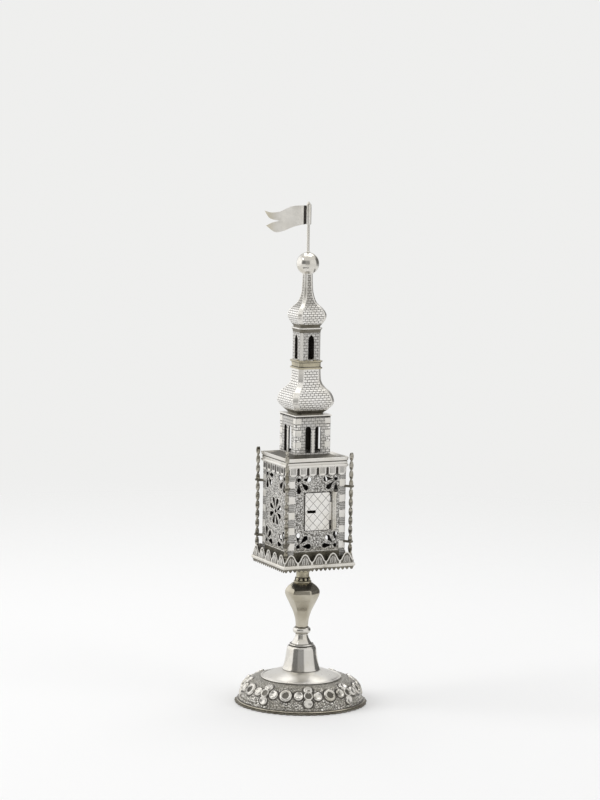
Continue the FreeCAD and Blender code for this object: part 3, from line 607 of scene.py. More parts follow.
        # Painted shade: the brick finish darkens over the upper neck of the small onion.
        painted_neck_shade = brick.span(brick.axis(brick.place, "Z"), CORNICE_TOP + 9.5, CORNICE_TOP + 13.5, 0.0, 0.6)
        brick.relief([(brick.math("SUBTRACT", 1.0, joints), 0.6)], 0.12)
        brick.surface(brick.mix(painted_neck_shade, brick.mix(joints, face, joint), tone(silver, 0.2, 0.12)), rough)


class SpiceTowerPiece:
    """Shared settings of the operators that make pieces."""

    bl_options = {"REGISTER", "UNDO"}


class TOWER_OT_foot(SpiceTowerPiece, bpy.types.Operator):
    """Scalloped rim, matted dome with embossed flowers, disc and bell"""

    bl_idname = "spice_tower.foot"
    bl_label = "Foot"

    front_floret = radians(-107.4)
    petals = ((5.7, -0.2), (-5.7, 0.2), (0.2, 4.3), (-0.2, -4.4))

    def dome_place(self, angle, rise):
        """Point and outward direction on the dome's round shoulder."""
        outward = Vector((cos(angle), sin(angle), 0))
        normal = outward * cos(rise) + Vector((0, 0, 1)) * sin(rise)
        return outward * SHOULDER_REACH + Vector((0, 0, SHOULDER_LOW)) + normal * SHOULDER, normal

    def on_dome(self, bm, verts, angle, rise):
        """Lay a small shape, made about the upright axis, on the dome."""
        place, normal = self.dome_place(angle, rise)
        side = Vector((-sin(angle), cos(angle), 0))
        basis = Matrix((side, normal.cross(side), normal)).transposed()
        bmesh.ops.rotate(bm, verts=verts, cent=(0, 0, 0), matrix=basis)
        bmesh.ops.translate(bm, verts=verts, vec=place)

    def rim(self, sizes):
        height = high("foot_rim").z
        edge = RIM_RADIUS - 0.6
        flange, wire_top, lobe_depth = 0.85, 1.8, 1.4
        path = profile(
            (35.3, 0.0), [(edge, 0.0)],
            [(edge + 0.5, 0.15), (edge + 0.55, 0.55), (edge + 0.1, 0.8)],
            [(edge - 1.5, flange)],
            [(edge - 0.9, 1.15), (edge - 0.9, 1.55), (edge - 1.3, wire_top)],
            [(edge - 1.9, wire_top - 0.05)],
            [(edge - 1.95, 2.5), (edge - 2.2, height - 0.2)],
            [(DOME_RADIUS - 0.3, height)])
        bm = around_sector(path, 6 * sizes.rim_lobes // 4, 4)
        for vert in bm.verts:
            radius = hypot(vert.co.x, vert.co.y)
            if vert.co.z > flange - 0.02 or radius < edge - lobe_depth:
                continue
            share = (radius - edge + lobe_depth) / lobe_depth
            angle = atan2(vert.co.y, vert.co.x)
            wear = noise.noise(Vector((9 * cos(angle), 9 * sin(angle), 0)))
            lobe = abs(cos(sizes.rim_lobes * (angle + 0.012 * wear) / 2)) ** 0.6
            scale = (radius - share * (1.2 - 1.2 * lobe + 0.5 * max(0, wear))) / radius
            vert.co.x *= scale
            vert.co.y *= scale
        # The band just above the wire takes the dark finish as painted shade in the joint with the rim's upper
        # wall.
        layered(bm, (flange, wire_top - 0.06, 1), (wire_top - 0.06, wire_top + 0.3, 2),
                (wire_top + 0.3, height + 1, 3))
        collect("foot_rim_scalloped", bm, ["edge", "mellow", "smoke_and_shade", "matted"],
                ["foot_rim"])

    def dome(self, sizes):
        skirt_low, thick, steps = 1.8, 0.8, 32
        path = [(DOME_RADIUS, skirt_low + (SHOULDER_LOW - skirt_low) * k / 5) for k in range(5)]
        swings = [pi / 2 * k / steps for k in range(steps + 1)]
        path += [(SHOULDER_REACH + SHOULDER * cos(t), SHOULDER_LOW + SHOULDER * sin(t)) for t in swings]
        path += [(DISC_RADIUS - 1.5, DOME_TOP)]
        inner = [(DISC_RADIUS - 1.5, DOME_TOP - thick), (SHOULDER_REACH, DOME_TOP - thick),
                 (DOME_RADIUS - 4.0, DOME_TOP - 5.0), (DOME_RADIUS - thick, SHOULDER_LOW),
                 (DOME_RADIUS - thick, skirt_low)]
        bm = around_sector(path + inner + path[:1], 60, sizes.florets)
        layer = bm.verts.layers.float.new("outline")
        pitch = pi / sizes.florets
        petal, stud = sizes.petal_width / MM / 2, sizes.stud_width / MM / 2
        for vert in bm.verts:
            flat = hypot(vert.co.x, vert.co.y)
            tilt = atan2(vert.co.z - SHOULDER_LOW, flat - SHOULDER_REACH)
            turns = (atan2(vert.co.y, vert.co.x) - self.front_floret) / pitch
            nearest = 10.0
            for index in (int(turns // 1), int(turns // 1) + 1):
                across, up = (turns - index) * pitch * flat, (tilt - sizes.slope) * SHOULDER
                if index % 2 == 0:
                    nearest = min([nearest] + [hypot(across - x, up - y) - petal for x, y in self.petals])
                else:
                    nearest = min(nearest, hypot(across, up) - stud)
            vert[layer] = max(0.0, min(1.0, 1.4 - abs(nearest - 0.15) / 0.6))
        collect("foot_dome_matted", bm, ["matted"], ["foot_dome"])

    def boss(self, bm, radius, shape, hollow, angle, rise):
        """Round boss from (share of its radius, height) points, dark inside its hollow, laid on the dome."""
        known_verts, known_faces = set(bm.verts), set(bm.faces)
        spun([(radius * share, height) for share, height in shape], 28, bm)
        for face in bm.faces:
            if face not in known_faces and hypot(*face.calc_center_median().xy) < hollow * radius:
                face.material_index = 1
        self.on_dome(bm, [v for v in bm.verts if v not in known_verts], angle, rise)

    def florets(self, sizes):
        """One floret and one stud, repeated round the dome."""
        petal = ((1.0, -0.35), (0.97, 0.2), (0.87, 0.62), (0.7, 0.8), (0.5, 0.55), (0.3, 0.35), (0, 0.3))
        heart = ((1.0, 0.0), (0.98, 0.75), (0.88, 0.98), (0.76, 0.92), (0.68, 0.6), (0.64, 0.25), (0, 0.2))
        stud = ((1.0, -0.4), (0.97, 0.3), (0.88, 0.75), (0.74, 0.9), (0.58, 0.75), (0.5, 0.3), (0.46, 0.1),
                (0, 0.08))
        petal_radius, stud_radius = sizes.petal_width / MM / 2, sizes.stud_width / MM / 2
        bm = bmesh.new()
        for x, y in self.petals:
            turn = x / (SHOULDER_REACH + SHOULDER * cos(sizes.slope))
            self.boss(bm, petal_radius, petal, 0, self.front_floret + turn, sizes.slope + y / SHOULDER)
        self.boss(bm, 2.75, heart, 0.64, self.front_floret, sizes.slope)
        self.boss(bm, stud_radius, stud, 0.48, self.front_floret + pi / sizes.florets, sizes.slope)
        around(bm, sizes.florets)
        for vert in bm.verts:
            vert.co *= 1 + 0.003 * noise.noise(vert.co * 0.35)
        collect("foot_florets_embossed", bm, ["flower", "smoke_and_shade"], ["foot_florets"])

    def execute(self, context):
        sizes = context.scene.tower_foot
        self.rim(sizes)
        self.dome(sizes)
        self.florets(sizes)
        self.disc()
        self.bell()
        return {"FINISHED"}

    def disc(self):
        lip = DOME_TOP + 1.0
        path = profile(
            (0, DOME_TOP), [(DISC_RADIUS - 0.4, DOME_TOP)],
            [(DISC_RADIUS, DOME_TOP + 0.35), (DISC_RADIUS - 0.15, lip - 0.1), (DISC_RADIUS - 0.8, lip)],
            [(DISC_RADIUS - 1.4, lip - 0.45), (DISC_RADIUS - 2.2, lip + 0.1)],
            [(18.5, lip + 1.6), (15.0, lip + 2.8), (12.6, DISC_TOP - 0.2), (11.4, DISC_TOP)],
            [(0, DISC_TOP)])
        # The underside and the foot of the lip take the dark finish as a painted shadow line under the lip.
        bm = layered(spun(path, 160), (0, DOME_TOP + 0.3, 1))
        collect("foot_disc_raised", bm, ["satin", "recess"], ["foot_disc"])

    def bell(self):
        path = profile(
            (0, DISC_TOP), [(11.45, DISC_TOP)],
            [(11.2, DISC_TOP + 0.9), (10.65, DISC_TOP + 2.3), (10.05, DISC_TOP + 4.6), (9.5, DISC_TOP + 7.6),
             (9.1, BELL_TOP - 4.0), (8.8, BELL_TOP - 1.9), (8.4, BELL_TOP - 0.8), (7.8, BELL_TOP - 0.15),
             (7.3, BELL_TOP)],
            [(0, BELL_TOP)])
        # Dark bands at the foot and the top, where the bell meets the disc and the socket, are painted shade in
        # the joints.
        bm = layered(spun(path, 160), (0, DISC_TOP + 0.3, 1), (BELL_TOP - 0.25, 99, 1))
        collect("foot_bell_raised", bm, ["bright", "smoke_and_shade"], ["foot_bell"])


class TOWER_OT_stem(SpiceTowerPiece, bpy.types.Operator):
    """Socket, bead, six-sided knop and collar under the box"""

    bl_idname = "spice_tower.stem"
    bl_label = "Stem"

    def execute(self, context):
        self.socket()
        self.ring()
        self.knop()
        self.collar()
        return {"FINISHED"}

    def socket(self):
        top = SOCKET_TOP - BELL_TOP
        path = profile((0, 0), [(6.9, 0)], [(7.25, 0.35), (7.15, 1.0), (6.6, 1.2)], [(6.2, 1.1)],
                       [(5.4, 2.4), (4.4, 4.2), (3.8, 5.8), (3.7, top)], [(0, top)], base=BELL_TOP)
        # Dark bands at the foot and on the step above the foot ring are painted shade in the joints.
        bm = layered(spun(path, 96), (0, BELL_TOP + 0.3, 1), (BELL_TOP + 1.08, BELL_TOP + 1.25, 1))
        collect("stem_socket_turned", bm, ["bright", "smoke_and_shade"], ["stem_socket"])

    def ring(self):
        middle = (SOCKET_TOP + RING_TOP) / 2
        path = profile(
            (0, SOCKET_TOP), [(3.95, SOCKET_TOP)], [(4.0, SOCKET_TOP + 0.35)],
            [(4.9, SOCKET_TOP + 0.75), (5.4, middle), (4.9, RING_TOP - 0.75), (4.0, RING_TOP - 0.35)],
            [(3.95, RING_TOP)], [(0, RING_TOP)])
        # Dark ends, where the bead meets the socket and the knop, are painted shade in the joints.
        bm = layered(spun(path, 96), (0, SOCKET_TOP + 0.5, 1), (RING_TOP - 0.5, 99, 1))
        collect("stem_ring_turned", bm, ["bright", "edge"], ["stem_ring"])

    def knop(self):
        stations = [(0.0, 3.85), (3.6, 4.1), (6.6, 4.75), (9.6, 5.75), (12.5, 7.15), (15.5, 8.6), (18.0, 9.8),
                    (20.3, 10.5), (22.4, 10.2), (24.6, 8.6), (26.7, 5.95)]
        path = [Vector((0, RING_TOP))] + smooth_path([(r, RING_TOP + z) for z, r in stations], 5)
        bm = spun(path + [Vector((0, KNOP_TOP))], 6)
        corners = [e for e in bm.edges if abs((e.verts[0].co - e.verts[1].co).z) > 0.05
                   and min(hypot(v.co.x, v.co.y) for v in e.verts) > 1]
        bevelled(bm, corners, 0.6, 3)
        collect("stem_knop_faceted", turned_bm(bm, 35), ["mellow"], ["stem_knop"], sharp=50)

    def collar(self):
        base = KNOP_TOP
        path = profile(
            (0, 0), [(4.8, 0)], [(5.25, 0.35), (5.2, 1.0), (4.7, 1.4)], [(4.6, 1.7)], [(4.65, 2.4), (4.45, 3.1)],
            [(3.9, 3.5), (3.85, 5.4), (3.95, 6.5)], [(4.75, 6.9)], [(4.85, 7.6), (4.55, 8.2)],
            [(4.6, 9.4), (4.55, 10.4)], [(4.9, 11.2), (5.6, 12.0)], [(6.3, 12.4)],
            [(6.4, PLATE_LOW - base)], [(0, PLATE_LOW - base)], base=base)
        bm = spun(path, 96)
        notches = ((1.6, 3.2), (8.3, 10.3), (12.1, 12.9))
        for vert in bm.verts:
            height = vert.co.z - base
            radius = hypot(vert.co.x, vert.co.y)
            wave = cos(10 * atan2(vert.co.y, vert.co.x))
            if radius > 4.3 and wave > 0.35 and any(start < height < end for start, end in notches):
                vert.co.x *= (radius - 0.7) / radius
                vert.co.y *= (radius - 0.7) / radius
        for face in bm.faces:
            centre = face.calc_center_median()
            wave = cos(10 * atan2(centre.y, centre.x))
            if wave > 0.35 and any(start < centre.z - base < end for start, end in notches):
                face.material_index = 1
        collect("stem_collar_notched", bm, ["straw", "recess"], ["stem_collar"])


class TOWER_OT_base(SpiceTowerPiece, bpy.types.Operator):
    """Half-round wire, cresting and fringe round the floor of the box"""

    bl_idname = "spice_tower.base"
    bl_label = "Base of the box"

    def execute(self, context):
        sizes = context.scene.tower_box
        wire_low, wire_high = low("base_wire_front").z, high("base_wire_front").z
        section = half_round_section(PLATE_HALF, 0.7, wire_low, wire_high - wire_low)
        bm = square_band(section)
        # A narrow dark band behind the top of the wire is painted shade in the joint with the cresting.
        square_band([(PLATE_HALF - 0.5, PLATE_TOP - 0.1), (PLATE_HALF + 0.06, PLATE_TOP - 0.1),
                     (PLATE_HALF + 0.06, PLATE_TOP + 0.4), (PLATE_HALF - 0.5, PLATE_TOP + 0.4)], bm, 1)
        collect("base_wire_round", bm, ["wire", "smoke_and_shade"], four("base_wire"))
        self.cresting(sizes)
        self.fringe(sizes)
        return {"FINISHED"}

    def cresting(self, sizes):
        pitch = 2 * PLATE_HALF / sizes.arches
        valley, peak = PLATE_TOP + 2.2, high("cresting_front").z
        half, rise = pitch / 2, peak - valley
        side = smooth_path([(0.0, 0.0), (0.24 * half, 0.2 * rise), (0.44 * half, 0.55 * rise),
                            (0.68 * half, 0.87 * rise), (half, rise)], 3)
        bm = bmesh.new()
        for index in range(sizes.arches):
            left = -PLATE_HALF + index * pitch
            arch = [(left + x, valley + z) for x, z in mirrored(side, pitch)]
            outline = [(left, PLATE_TOP)] + arch + [(left + pitch, PLATE_TOP)]
            plate(bm, outline, 0.4, PLATE_HALF, 0, 0.6, 0.12, 1, soft=0.0)
            centre = left + half
            for shift in (-0.5, -0.18, 0.18, 0.5):
                foot = (centre + shift * half * 0.9, -PLATE_HALF + 0.02, PLATE_TOP + 0.9)
                tip = (centre + shift * half * 0.55, -PLATE_HALF + 0.02, peak - 1.5 - abs(shift) * 2.4)
                wire(bm, [[foot, tip]], 0.3, 2, False)
        collect("cresting_arches", around(bm), ["satin", "smoke_and_shade", "pale"],
                four("cresting"))

    def fringe(self, sizes):
        pitch = 2 * PLATE_HALF / sizes.teeth
        root = PLATE_LOW - 0.9
        drop = root - low("fringe_front").z
        side = smooth_path([(0.0, 0.0), (0.14 * pitch, 0.35), (0.32 * pitch, 0.75), (0.5 * pitch, 1.0)], 3)
        bm = bmesh.new()
        for index in range(sizes.teeth):
            left = -PLATE_HALF + index * pitch
            tooth = [(left + x, root - drop * share) for x, share in mirrored(side, pitch)]
            plate(bm, [(left, PLATE_LOW)] + tooth + [(left + pitch, PLATE_LOW)], 0.4, PLATE_HALF, soft=0.12)
        collect("fringe_teeth", around(bm), ["edge"], four("fringe"))


def teardrop(x, z, angle, start, reach, width):
    """Outline of one pierced petal: a point that widens to a round end."""
    radius = width / 2
    along = Vector((cos(angle), sin(angle)))
    across = Vector((-along.y, along.x))
    centre = Vector((x, z)) + along * (reach - radius)
    points = [tuple(Vector((x, z)) + along * start)]
    for k in range(9):
        swing = radians(-105 + 210 * k / 8)
        points.append(tuple(centre + along * radius * cos(swing) + across * radius * sin(swing)))
    return points


def circle(x, z, radius, steps=16):
    """Outline of a round hole."""
    swings = [2 * pi * k / steps for k in range(steps)]
    return [(x + radius * cos(t), z + radius * sin(t)) for t in swings]


def rectangle(left, right, bottom, top):
    """Outline of a plain opening."""
    return [(left, bottom), (right, bottom), (right, top), (left, top)]


def on_front(points, outer):
    """Flat (x, z) points brought to the front plane."""
    return [(x, -outer, z) for x, z in points]


class TOWER_OT_walls(SpiceTowerPiece, bpy.types.Operator):
    """Pierced walls with corner blocks and engraved ground"""

    bl_idname = "spice_tower.walls"
    bl_label = "Pierced walls"

    def fans(self):
        """Centres and petal directions of the four fans."""
        for side in (-1, 1):
            for z, rise in ((PLATE_TOP + 11.0, 1), (PLATE_TOP + 50.6, -1)):
                angles = [radians(rise * a if side < 0 else 180 - rise * a) for a in (0, 45, 90)]
                yield side * 12.0, z, angles

    def execute(self, context):
        sizes = context.scene.tower_box
        for side, angle in zip(SIDES, (0, 90, 180, 270)):
            self.wall(side, angle, sizes)
        return {"FINISHED"}

    def wall(self, side, angle, sizes):
        reach = BOX_HALF - 0.04
        middle = PLATE_TOP + 30.0
        petal = 3.0 if side == "front" else 3.2
        holes, ridges, open_ridges = [], [], []
        for x, z, angles in self.fans():
            holes.append(circle(x, z, 1.2))
            for turn in angles:
                holes.append(teardrop(x, z, turn, 2.1, 8.3, petal))
                ridges.append(on_front(teardrop(x, z, turn, 1.6, 8.85, petal + 1.0), BOX_HALF))
            turns = [min(angles) + k * pi / 20 for k in range(11)]
            open_ridges.append(on_front([(x + 9.9 * cos(t), z + 9.9 * sin(t)) for t in turns], BOX_HALF))
        if side == "front":
            left, bottom, top = low("door_leaf").x, low("door_leaf").z, high("door_leaf").z
            holes.append(rectangle(left + 0.8, 8.9, bottom + 0.8, top - 0.8))
            ridges.append(on_front(rectangle(left - 1.0, 12.9, bottom - 1.2, top + 1.0), BOX_HALF))
        else:
            holes.append(circle(0, middle, 1.2))
            for k in range(8):
                holes.append(teardrop(0, middle, (k + 0.5) * pi / 4, 2.0, 8.3, 3.0))
                ridges.append(on_front(teardrop(0, middle, (k + 0.5) * pi / 4, 1.6, 8.8, 3.9), BOX_HALF))
            swings = [2 * pi * k / 64 for k in range(64)]
            scallops = [(t, 10.2 + 0.5 * abs(cos(4 * t))) for t in swings]
            ridges.append(on_front([(r * cos(t), middle + r * sin(t)) for t, r in scallops], BOX_HALF))
        # The backs and cut edges take the dark finish: patina inside the box, and also painted shade so the
        # piercings look black.
        bm = sheet([rectangle(-reach, reach, PLATE_TOP, BOX_TOP)] + holes, 0.6, BOX_HALF, 3)
        if side == "front":
            # Dark sheet painted as the shadow in the gap round the door; it stays on the wall when the door
            # opens.
            gap = [rectangle(left - 0.45, 8.9, bottom - 0.45, top + 0.45),
                   rectangle(left + 0.85, 8.8, bottom + 0.9, top - 0.9)]
            sheet(gap, 0.06, BOX_HALF + 0.05, 3, 3, bm=bm)
        wire(bm, ridges, 0.14, 1)
        wire(bm, open_ridges, 0.16, 1, False)
        start, end = PLATE_TOP + 4.2, low("frieze_front").z + 3.0
        block = sizes.quoin_height / MM
        count = int((end - start) / block)
        corner_blocks(bm, BOX_HALF, start, block, count, (3.77, 4.17), (0.12, 0.2), (2, 4))
        wire(bm, [[(-14.0, -BOX_HALF, PLATE_TOP + 8.0), (14.0, -BOX_HALF, PLATE_TOP + 8.0)]], 0.2, 1, False)
        turned_bm(bm, angle)
        materials = ["stippled", "satin", "hatched", "recess", "pale"]
        collect(f"wall_{side}_pierced", bm, materials, [f"wall_{side}"])


class TOWER_OT_door(SpiceTowerPiece, bpy.types.Operator):
    """Door leaf with its engraved lattice, slot and rolled knuckle"""

    bl_idname = "spice_tower.door"
    bl_label = "Door"

    def execute(self, context):
        bottom, top = low("door_leaf").z, high("door_leaf").z
        left = low("door_leaf").x
        right, corner, front = 7.9, 0.7, BOX_HALF + 0.55
        outline = []
        for x, z, start in ((right, bottom, 270), (right, top, 0), (left, top, 90), (left, bottom, 180)):
            inset = Vector((x - corner if x > 0 else x + corner, z + corner if z == bottom else z - corner))
            for k in range(4):
                turn = radians(start + 30 * k)
                outline.append((inset.x + corner * cos(turn), inset.y + corner * sin(turn)))
        middle = (bottom + top) / 2
        slot = rectangle(left + 1.4, left + 6.9, middle - 0.85, middle + 0.85)
        bm = sheet([outline, slot], 0.5, front, 1, soft=0.07)
        own_low, own_high = middle - 5.45, middle + 5.45
        hinge, radius = 10.0, 0.95
        plate(bm, rectangle(right - 0.3, hinge, own_low, own_high), 0.5, front, 1, soft=0.05)
        axis_y = -(BOX_HALF + 0.05 + radius)
        ring = profile((0.45, own_low), [(radius - 0.08, own_low)], [(radius, own_low + 0.1)],
                       [(radius, own_high - 0.1)], [(radius - 0.08, own_high)], [(0.45, own_high)],
                       [(0.45, own_low)])
        spun(ring, 24, bm, 2, centre=(hinge, axis_y, 0))
        collect("door_leaf_engraved", bm, ["lattice", "satin", "wire"],
                ["door_leaf"], body="door")
        return {"FINISHED"}


class TOWER_OT_frieze(SpiceTowerPiece, bpy.types.Operator):
    """Tabs, bead and parapet round the top of the box, and the twisted corner columns"""

    bl_idname = "spice_tower.frieze"
    bl_label = "Frieze and columns"

    def execute(self, context):
        sizes = context.scene.tower_box
        self.tabs(sizes)
        bead_low, bead_high = low("frieze_bead_front").z, high("frieze_bead_front").z
        section = half_round_section(BOX_HALF + 0.4, 0.7, bead_low, bead_high - bead_low)
        collect("frieze_bead_round", square_band(section), ["satin"], four("frieze_bead"))
        self.parapet()
        self.columns(sizes)
        self.ties()
        return {"FINISHED"}

    def parapet(self):
        """Flared band with a dark groove."""
        bottom, top = low("parapet_front").z, high("parapet_front").z
        inner, outer, flare = BOX_HALF + 0.02, BOX_HALF + 0.6, 0.6
        path = [(inner, bottom), (outer - 0.1, bottom), (outer, bottom + 0.15), (outer + 0.02, bottom + 1.1),
                (outer - 0.25, bottom + 1.2), (outer - 0.2, bottom + 1.6), (outer + 0.12, bottom + 1.75),
                (outer + 0.25, bottom + 2.1), (outer + flare - 0.05, top - 0.15), (outer + flare - 0.2, top),
                (inner + flare + 0.1, top), (inner + flare, top - 0.15), (inner + 0.2, bottom + 2.0),
                (inner, bottom + 1.4)]
        bm = square_band(path)
        for face in bm.faces:
            if bottom + 1.12 < face.calc_center_median().z < bottom + 1.7 and face.calc_area() < 25:
                face.material_index = 1
        collect("parapet_flared", bm, ["satin", "smoke_and_shade"], four("parapet"))

    def tabs(self, sizes):
        outer = BOX_HALF + 0.4
        pitch = 2 * outer / sizes.tabs
        bottom, top = low("frieze_front").z, high("frieze_front").z
        band = bottom + 4.2
        half = 2.25
        swings = [pi + pi * k / 10 for k in range(11)]
        bm = bmesh.new()
        plate(bm, rectangle(-outer + 0.02, outer - 0.02, band, top), 0.4, outer, soft=0.0)
        for index in range(sizes.tabs):
            centre = -outer + (index + 0.5) * pitch
            bowl = [(centre + half * cos(t), bottom + 1.5 + 1.5 * sin(t)) for t in swings]
            points = [(centre - half, band + 0.1)] + bowl + [(centre + half, band + 0.1)]
            plate(bm, points, 0.4, outer, 0, 0.35, 0.1, soft=0.0)
            for shift in (-1.2, -0.4, 0.4, 1.2):
                line = [(centre + shift, -outer + 0.06, z) for z in (band + 1.0, bottom + 1.2)]
                wire(bm, [line], 0.14, 1, False)
            if index < sizes.tabs - 1:
                gap = centre + pitch / 2
                slit = rectangle(gap - 0.62, gap + 0.62, bottom + 0.6, top - 1.7)
                plate(bm, slit, 0.1, outer + 0.06, 1, soft=0.0)
        collect("frieze_tabs", around(bm), ["pale", "recess"], four("frieze"))

    def columns(self, sizes):
        for corner in ("front_right", "back_right", "back_left", "front_left"):
            node = f"column_{corner}"
            centre = (low(node) + high(node)) / 2
            bottom, top = low(node).z, high(node).z
            bm = bmesh.new()
            half, thick = 1.2, 0.55
            section = [(-half, -thick / 2), (-half * 0.8, -thick), (half * 0.8, -thick), (half, -thick / 2),
                       (half, thick / 2), (half * 0.8, thick), (-half * 0.8, thick), (-half, thick / 2)]
            verts = [bm.verts.new((x, y, 0)) for x, y in section]
            edges = [bm.edges.new((a, b)) for a, b in zip(verts, verts[1:] + verts[:1])]
            bm.faces.new(verts)
            steps = sizes.column_turns * 14
            height = top - bottom
            rise = Vector((0, 0, height / steps))
            result = bmesh.ops.spin(bm, geom=verts + edges, cent=(0, 0, 0), axis=(0, 0, 1), dvec=rise,
                                    angle=pi * sizes.column_turns, steps=steps)
            last = [v for v in result["geom_last"] if isinstance(v, bmesh.types.BMVert)]
            bm.faces.new(sorted(last, key=lambda v: atan2(v.co.y, v.co.x)))
            turn = degrees(atan2(centre.y, centre.x)) + 90
            turned_bm(bm, turn)
            bmesh.ops.translate(bm, verts=bm.verts[:], vec=(centre.x, centre.y, bottom))
            collect(f"{node}_twisted", bm, ["column"], [node], sharp=50)

    def ties(self):
        """Worn lugs from the corners of the box, with wire wound round the columns."""
        reach = (low("column_front_right").y + high("column_front_right").y) / -sqrt(2)
        corner = BOX_HALF * sqrt(2)
        bm = bmesh.new()
        for bottom in (low("column_ties").z, high("column_ties").z - 1.6):
            section = [(-0.6, 0.1), (0.5, 0.0), (0.8, 0.7), (0.6, 1.4), (-0.5, 1.5), (-0.8, 0.8)]
            lofted([[(x * share, -distance, bottom + z) for x, z in section]
                    for distance, share in ((corner - 0.6, 1.1), (corner + 0.8, 0.7), (reach - 1.2, 0.8))], bm)
            turns = [radians(24 * k) for k in range(46)]
            coil = [(1.5 * cos(t), -reach + 1.5 * sin(t), bottom + 0.3 + 0.95 * t / turns[-1]) for t in turns]
            wire(bm, [coil], 0.24, closed=False)
        turned_bm(bm, 45)
        collect("column_ties_wound", around(bm), ["edge"], ["column_ties"])


def arched(x, sill, width, height, pointed):
    """Outline of a window with a round or pointed head."""
    half = width / 2
    if pointed:
        spring = sill + height - width
        side = smooth_path([(half, 0), (half * 0.93, width * 0.35), (half * 0.6, width * 0.72), (0, width)], 4)
        head = [(x + across, spring + up) for across, up in mirrored(side, 0)]
    else:
        spring = sill + height - half
        head = [(x + half * cos(pi * k / 12), spring + half * sin(pi * k / 12)) for k in range(13)]
    return [(x - half, sill), (x + half, sill)] + head


class TOWER_OT_lanterns(SpiceTowerPiece, bpy.types.Operator):
    """Square lower lantern and chamfered upper lantern with their windows"""

    bl_idname = "spice_tower.lanterns"
    bl_label = "Lanterns"

    def execute(self, context):
        self.lower()
        self.upper()
        return {"FINISHED"}

    def lower(self):
        half = LANTERN_HALF
        aside = 3.15
        windows = [arched(x, ROOF_TOP + 0.8, 3.7, 15.8, False) for x in (-aside, aside)]
        # The backs and window edges take the dark finish: patina inside, and also painted shade so the windows
        # look black.
        bm = sheet([rectangle(0.04 - half, half - 0.04, ROOF_TOP, LANTERN_TOP)] + windows, 0.7, half, 3)
        for jamb in (-aside - 2.15, -aside + 2.15, aside - 2.15, aside + 2.15):
            capital = rectangle(jamb - 0.25, jamb + 0.25, ROOF_TOP + 13.6, ROOF_TOP + 14.3)
            plate(bm, capital, 0.2, half + 0.15, 1, soft=0.05)
        plate(bm, rectangle(-0.55, 0.55, ROOF_TOP + 0.8, ROOF_TOP + 14.0), 0.2, half + 0.16, 1)
        shadow = rectangle(0.1 - half, half - 0.1, LANTERN_TOP - 0.8, LANTERN_TOP - 0.05)
        plate(bm, shadow, 0.1, half + 0.05, 3, soft=0.0)
        block = (LANTERN_TOP - ROOF_TOP - 1.4) / 6
        corner_blocks(bm, half, ROOF_TOP + 0.4, block, 6, (2.7, 3.6), (0.08, 0.1), (2, 1))
        around(bm)
        collect("lower_lantern_masonry", bm, ["masonry", "satin", "bricks", "recess"],
                ["lower_lantern"])

    def upper(self):
        half, chamfer, thick = TURRET_HALF, 2.2, 0.6
        inner = half - chamfer / sqrt(2)
        window = arched(0, GALLERY_TOP + 0.8, 3.9, 14.6, True)
        outline = rectangle(-inner, inner, GALLERY_TOP, TURRET_TOP)
        # The backs and window edge take the dark finish: patina inside, and also painted shade so the window
        # looks black.
        bm = sheet([outline, window], thick, half, 2)
        trim = arched(0, GALLERY_TOP + 0.5, 4.7, 15.2, True)
        wire(bm, [on_front(trim, half)], 0.16, 1)
        known = set(bm.verts)
        edge = chamfer / 2
        plate(bm, rectangle(-edge, edge, GALLERY_TOP, TURRET_TOP), thick, half * sqrt(2) - edge, 1, soft=0.1)
        verts = [v for v in bm.verts if v not in known]
        for face in bm.faces:
            if face.verts[0] not in known and face.calc_center_median().y > edge - half * sqrt(2) + 0.2:
                face.material_index = 2
        turned_bm(bm, 45, verts)
        around(bm)
        collect("upper_lantern_masonry", bm, ["masonry", "satin", "recess"],
                ["upper_lantern"])


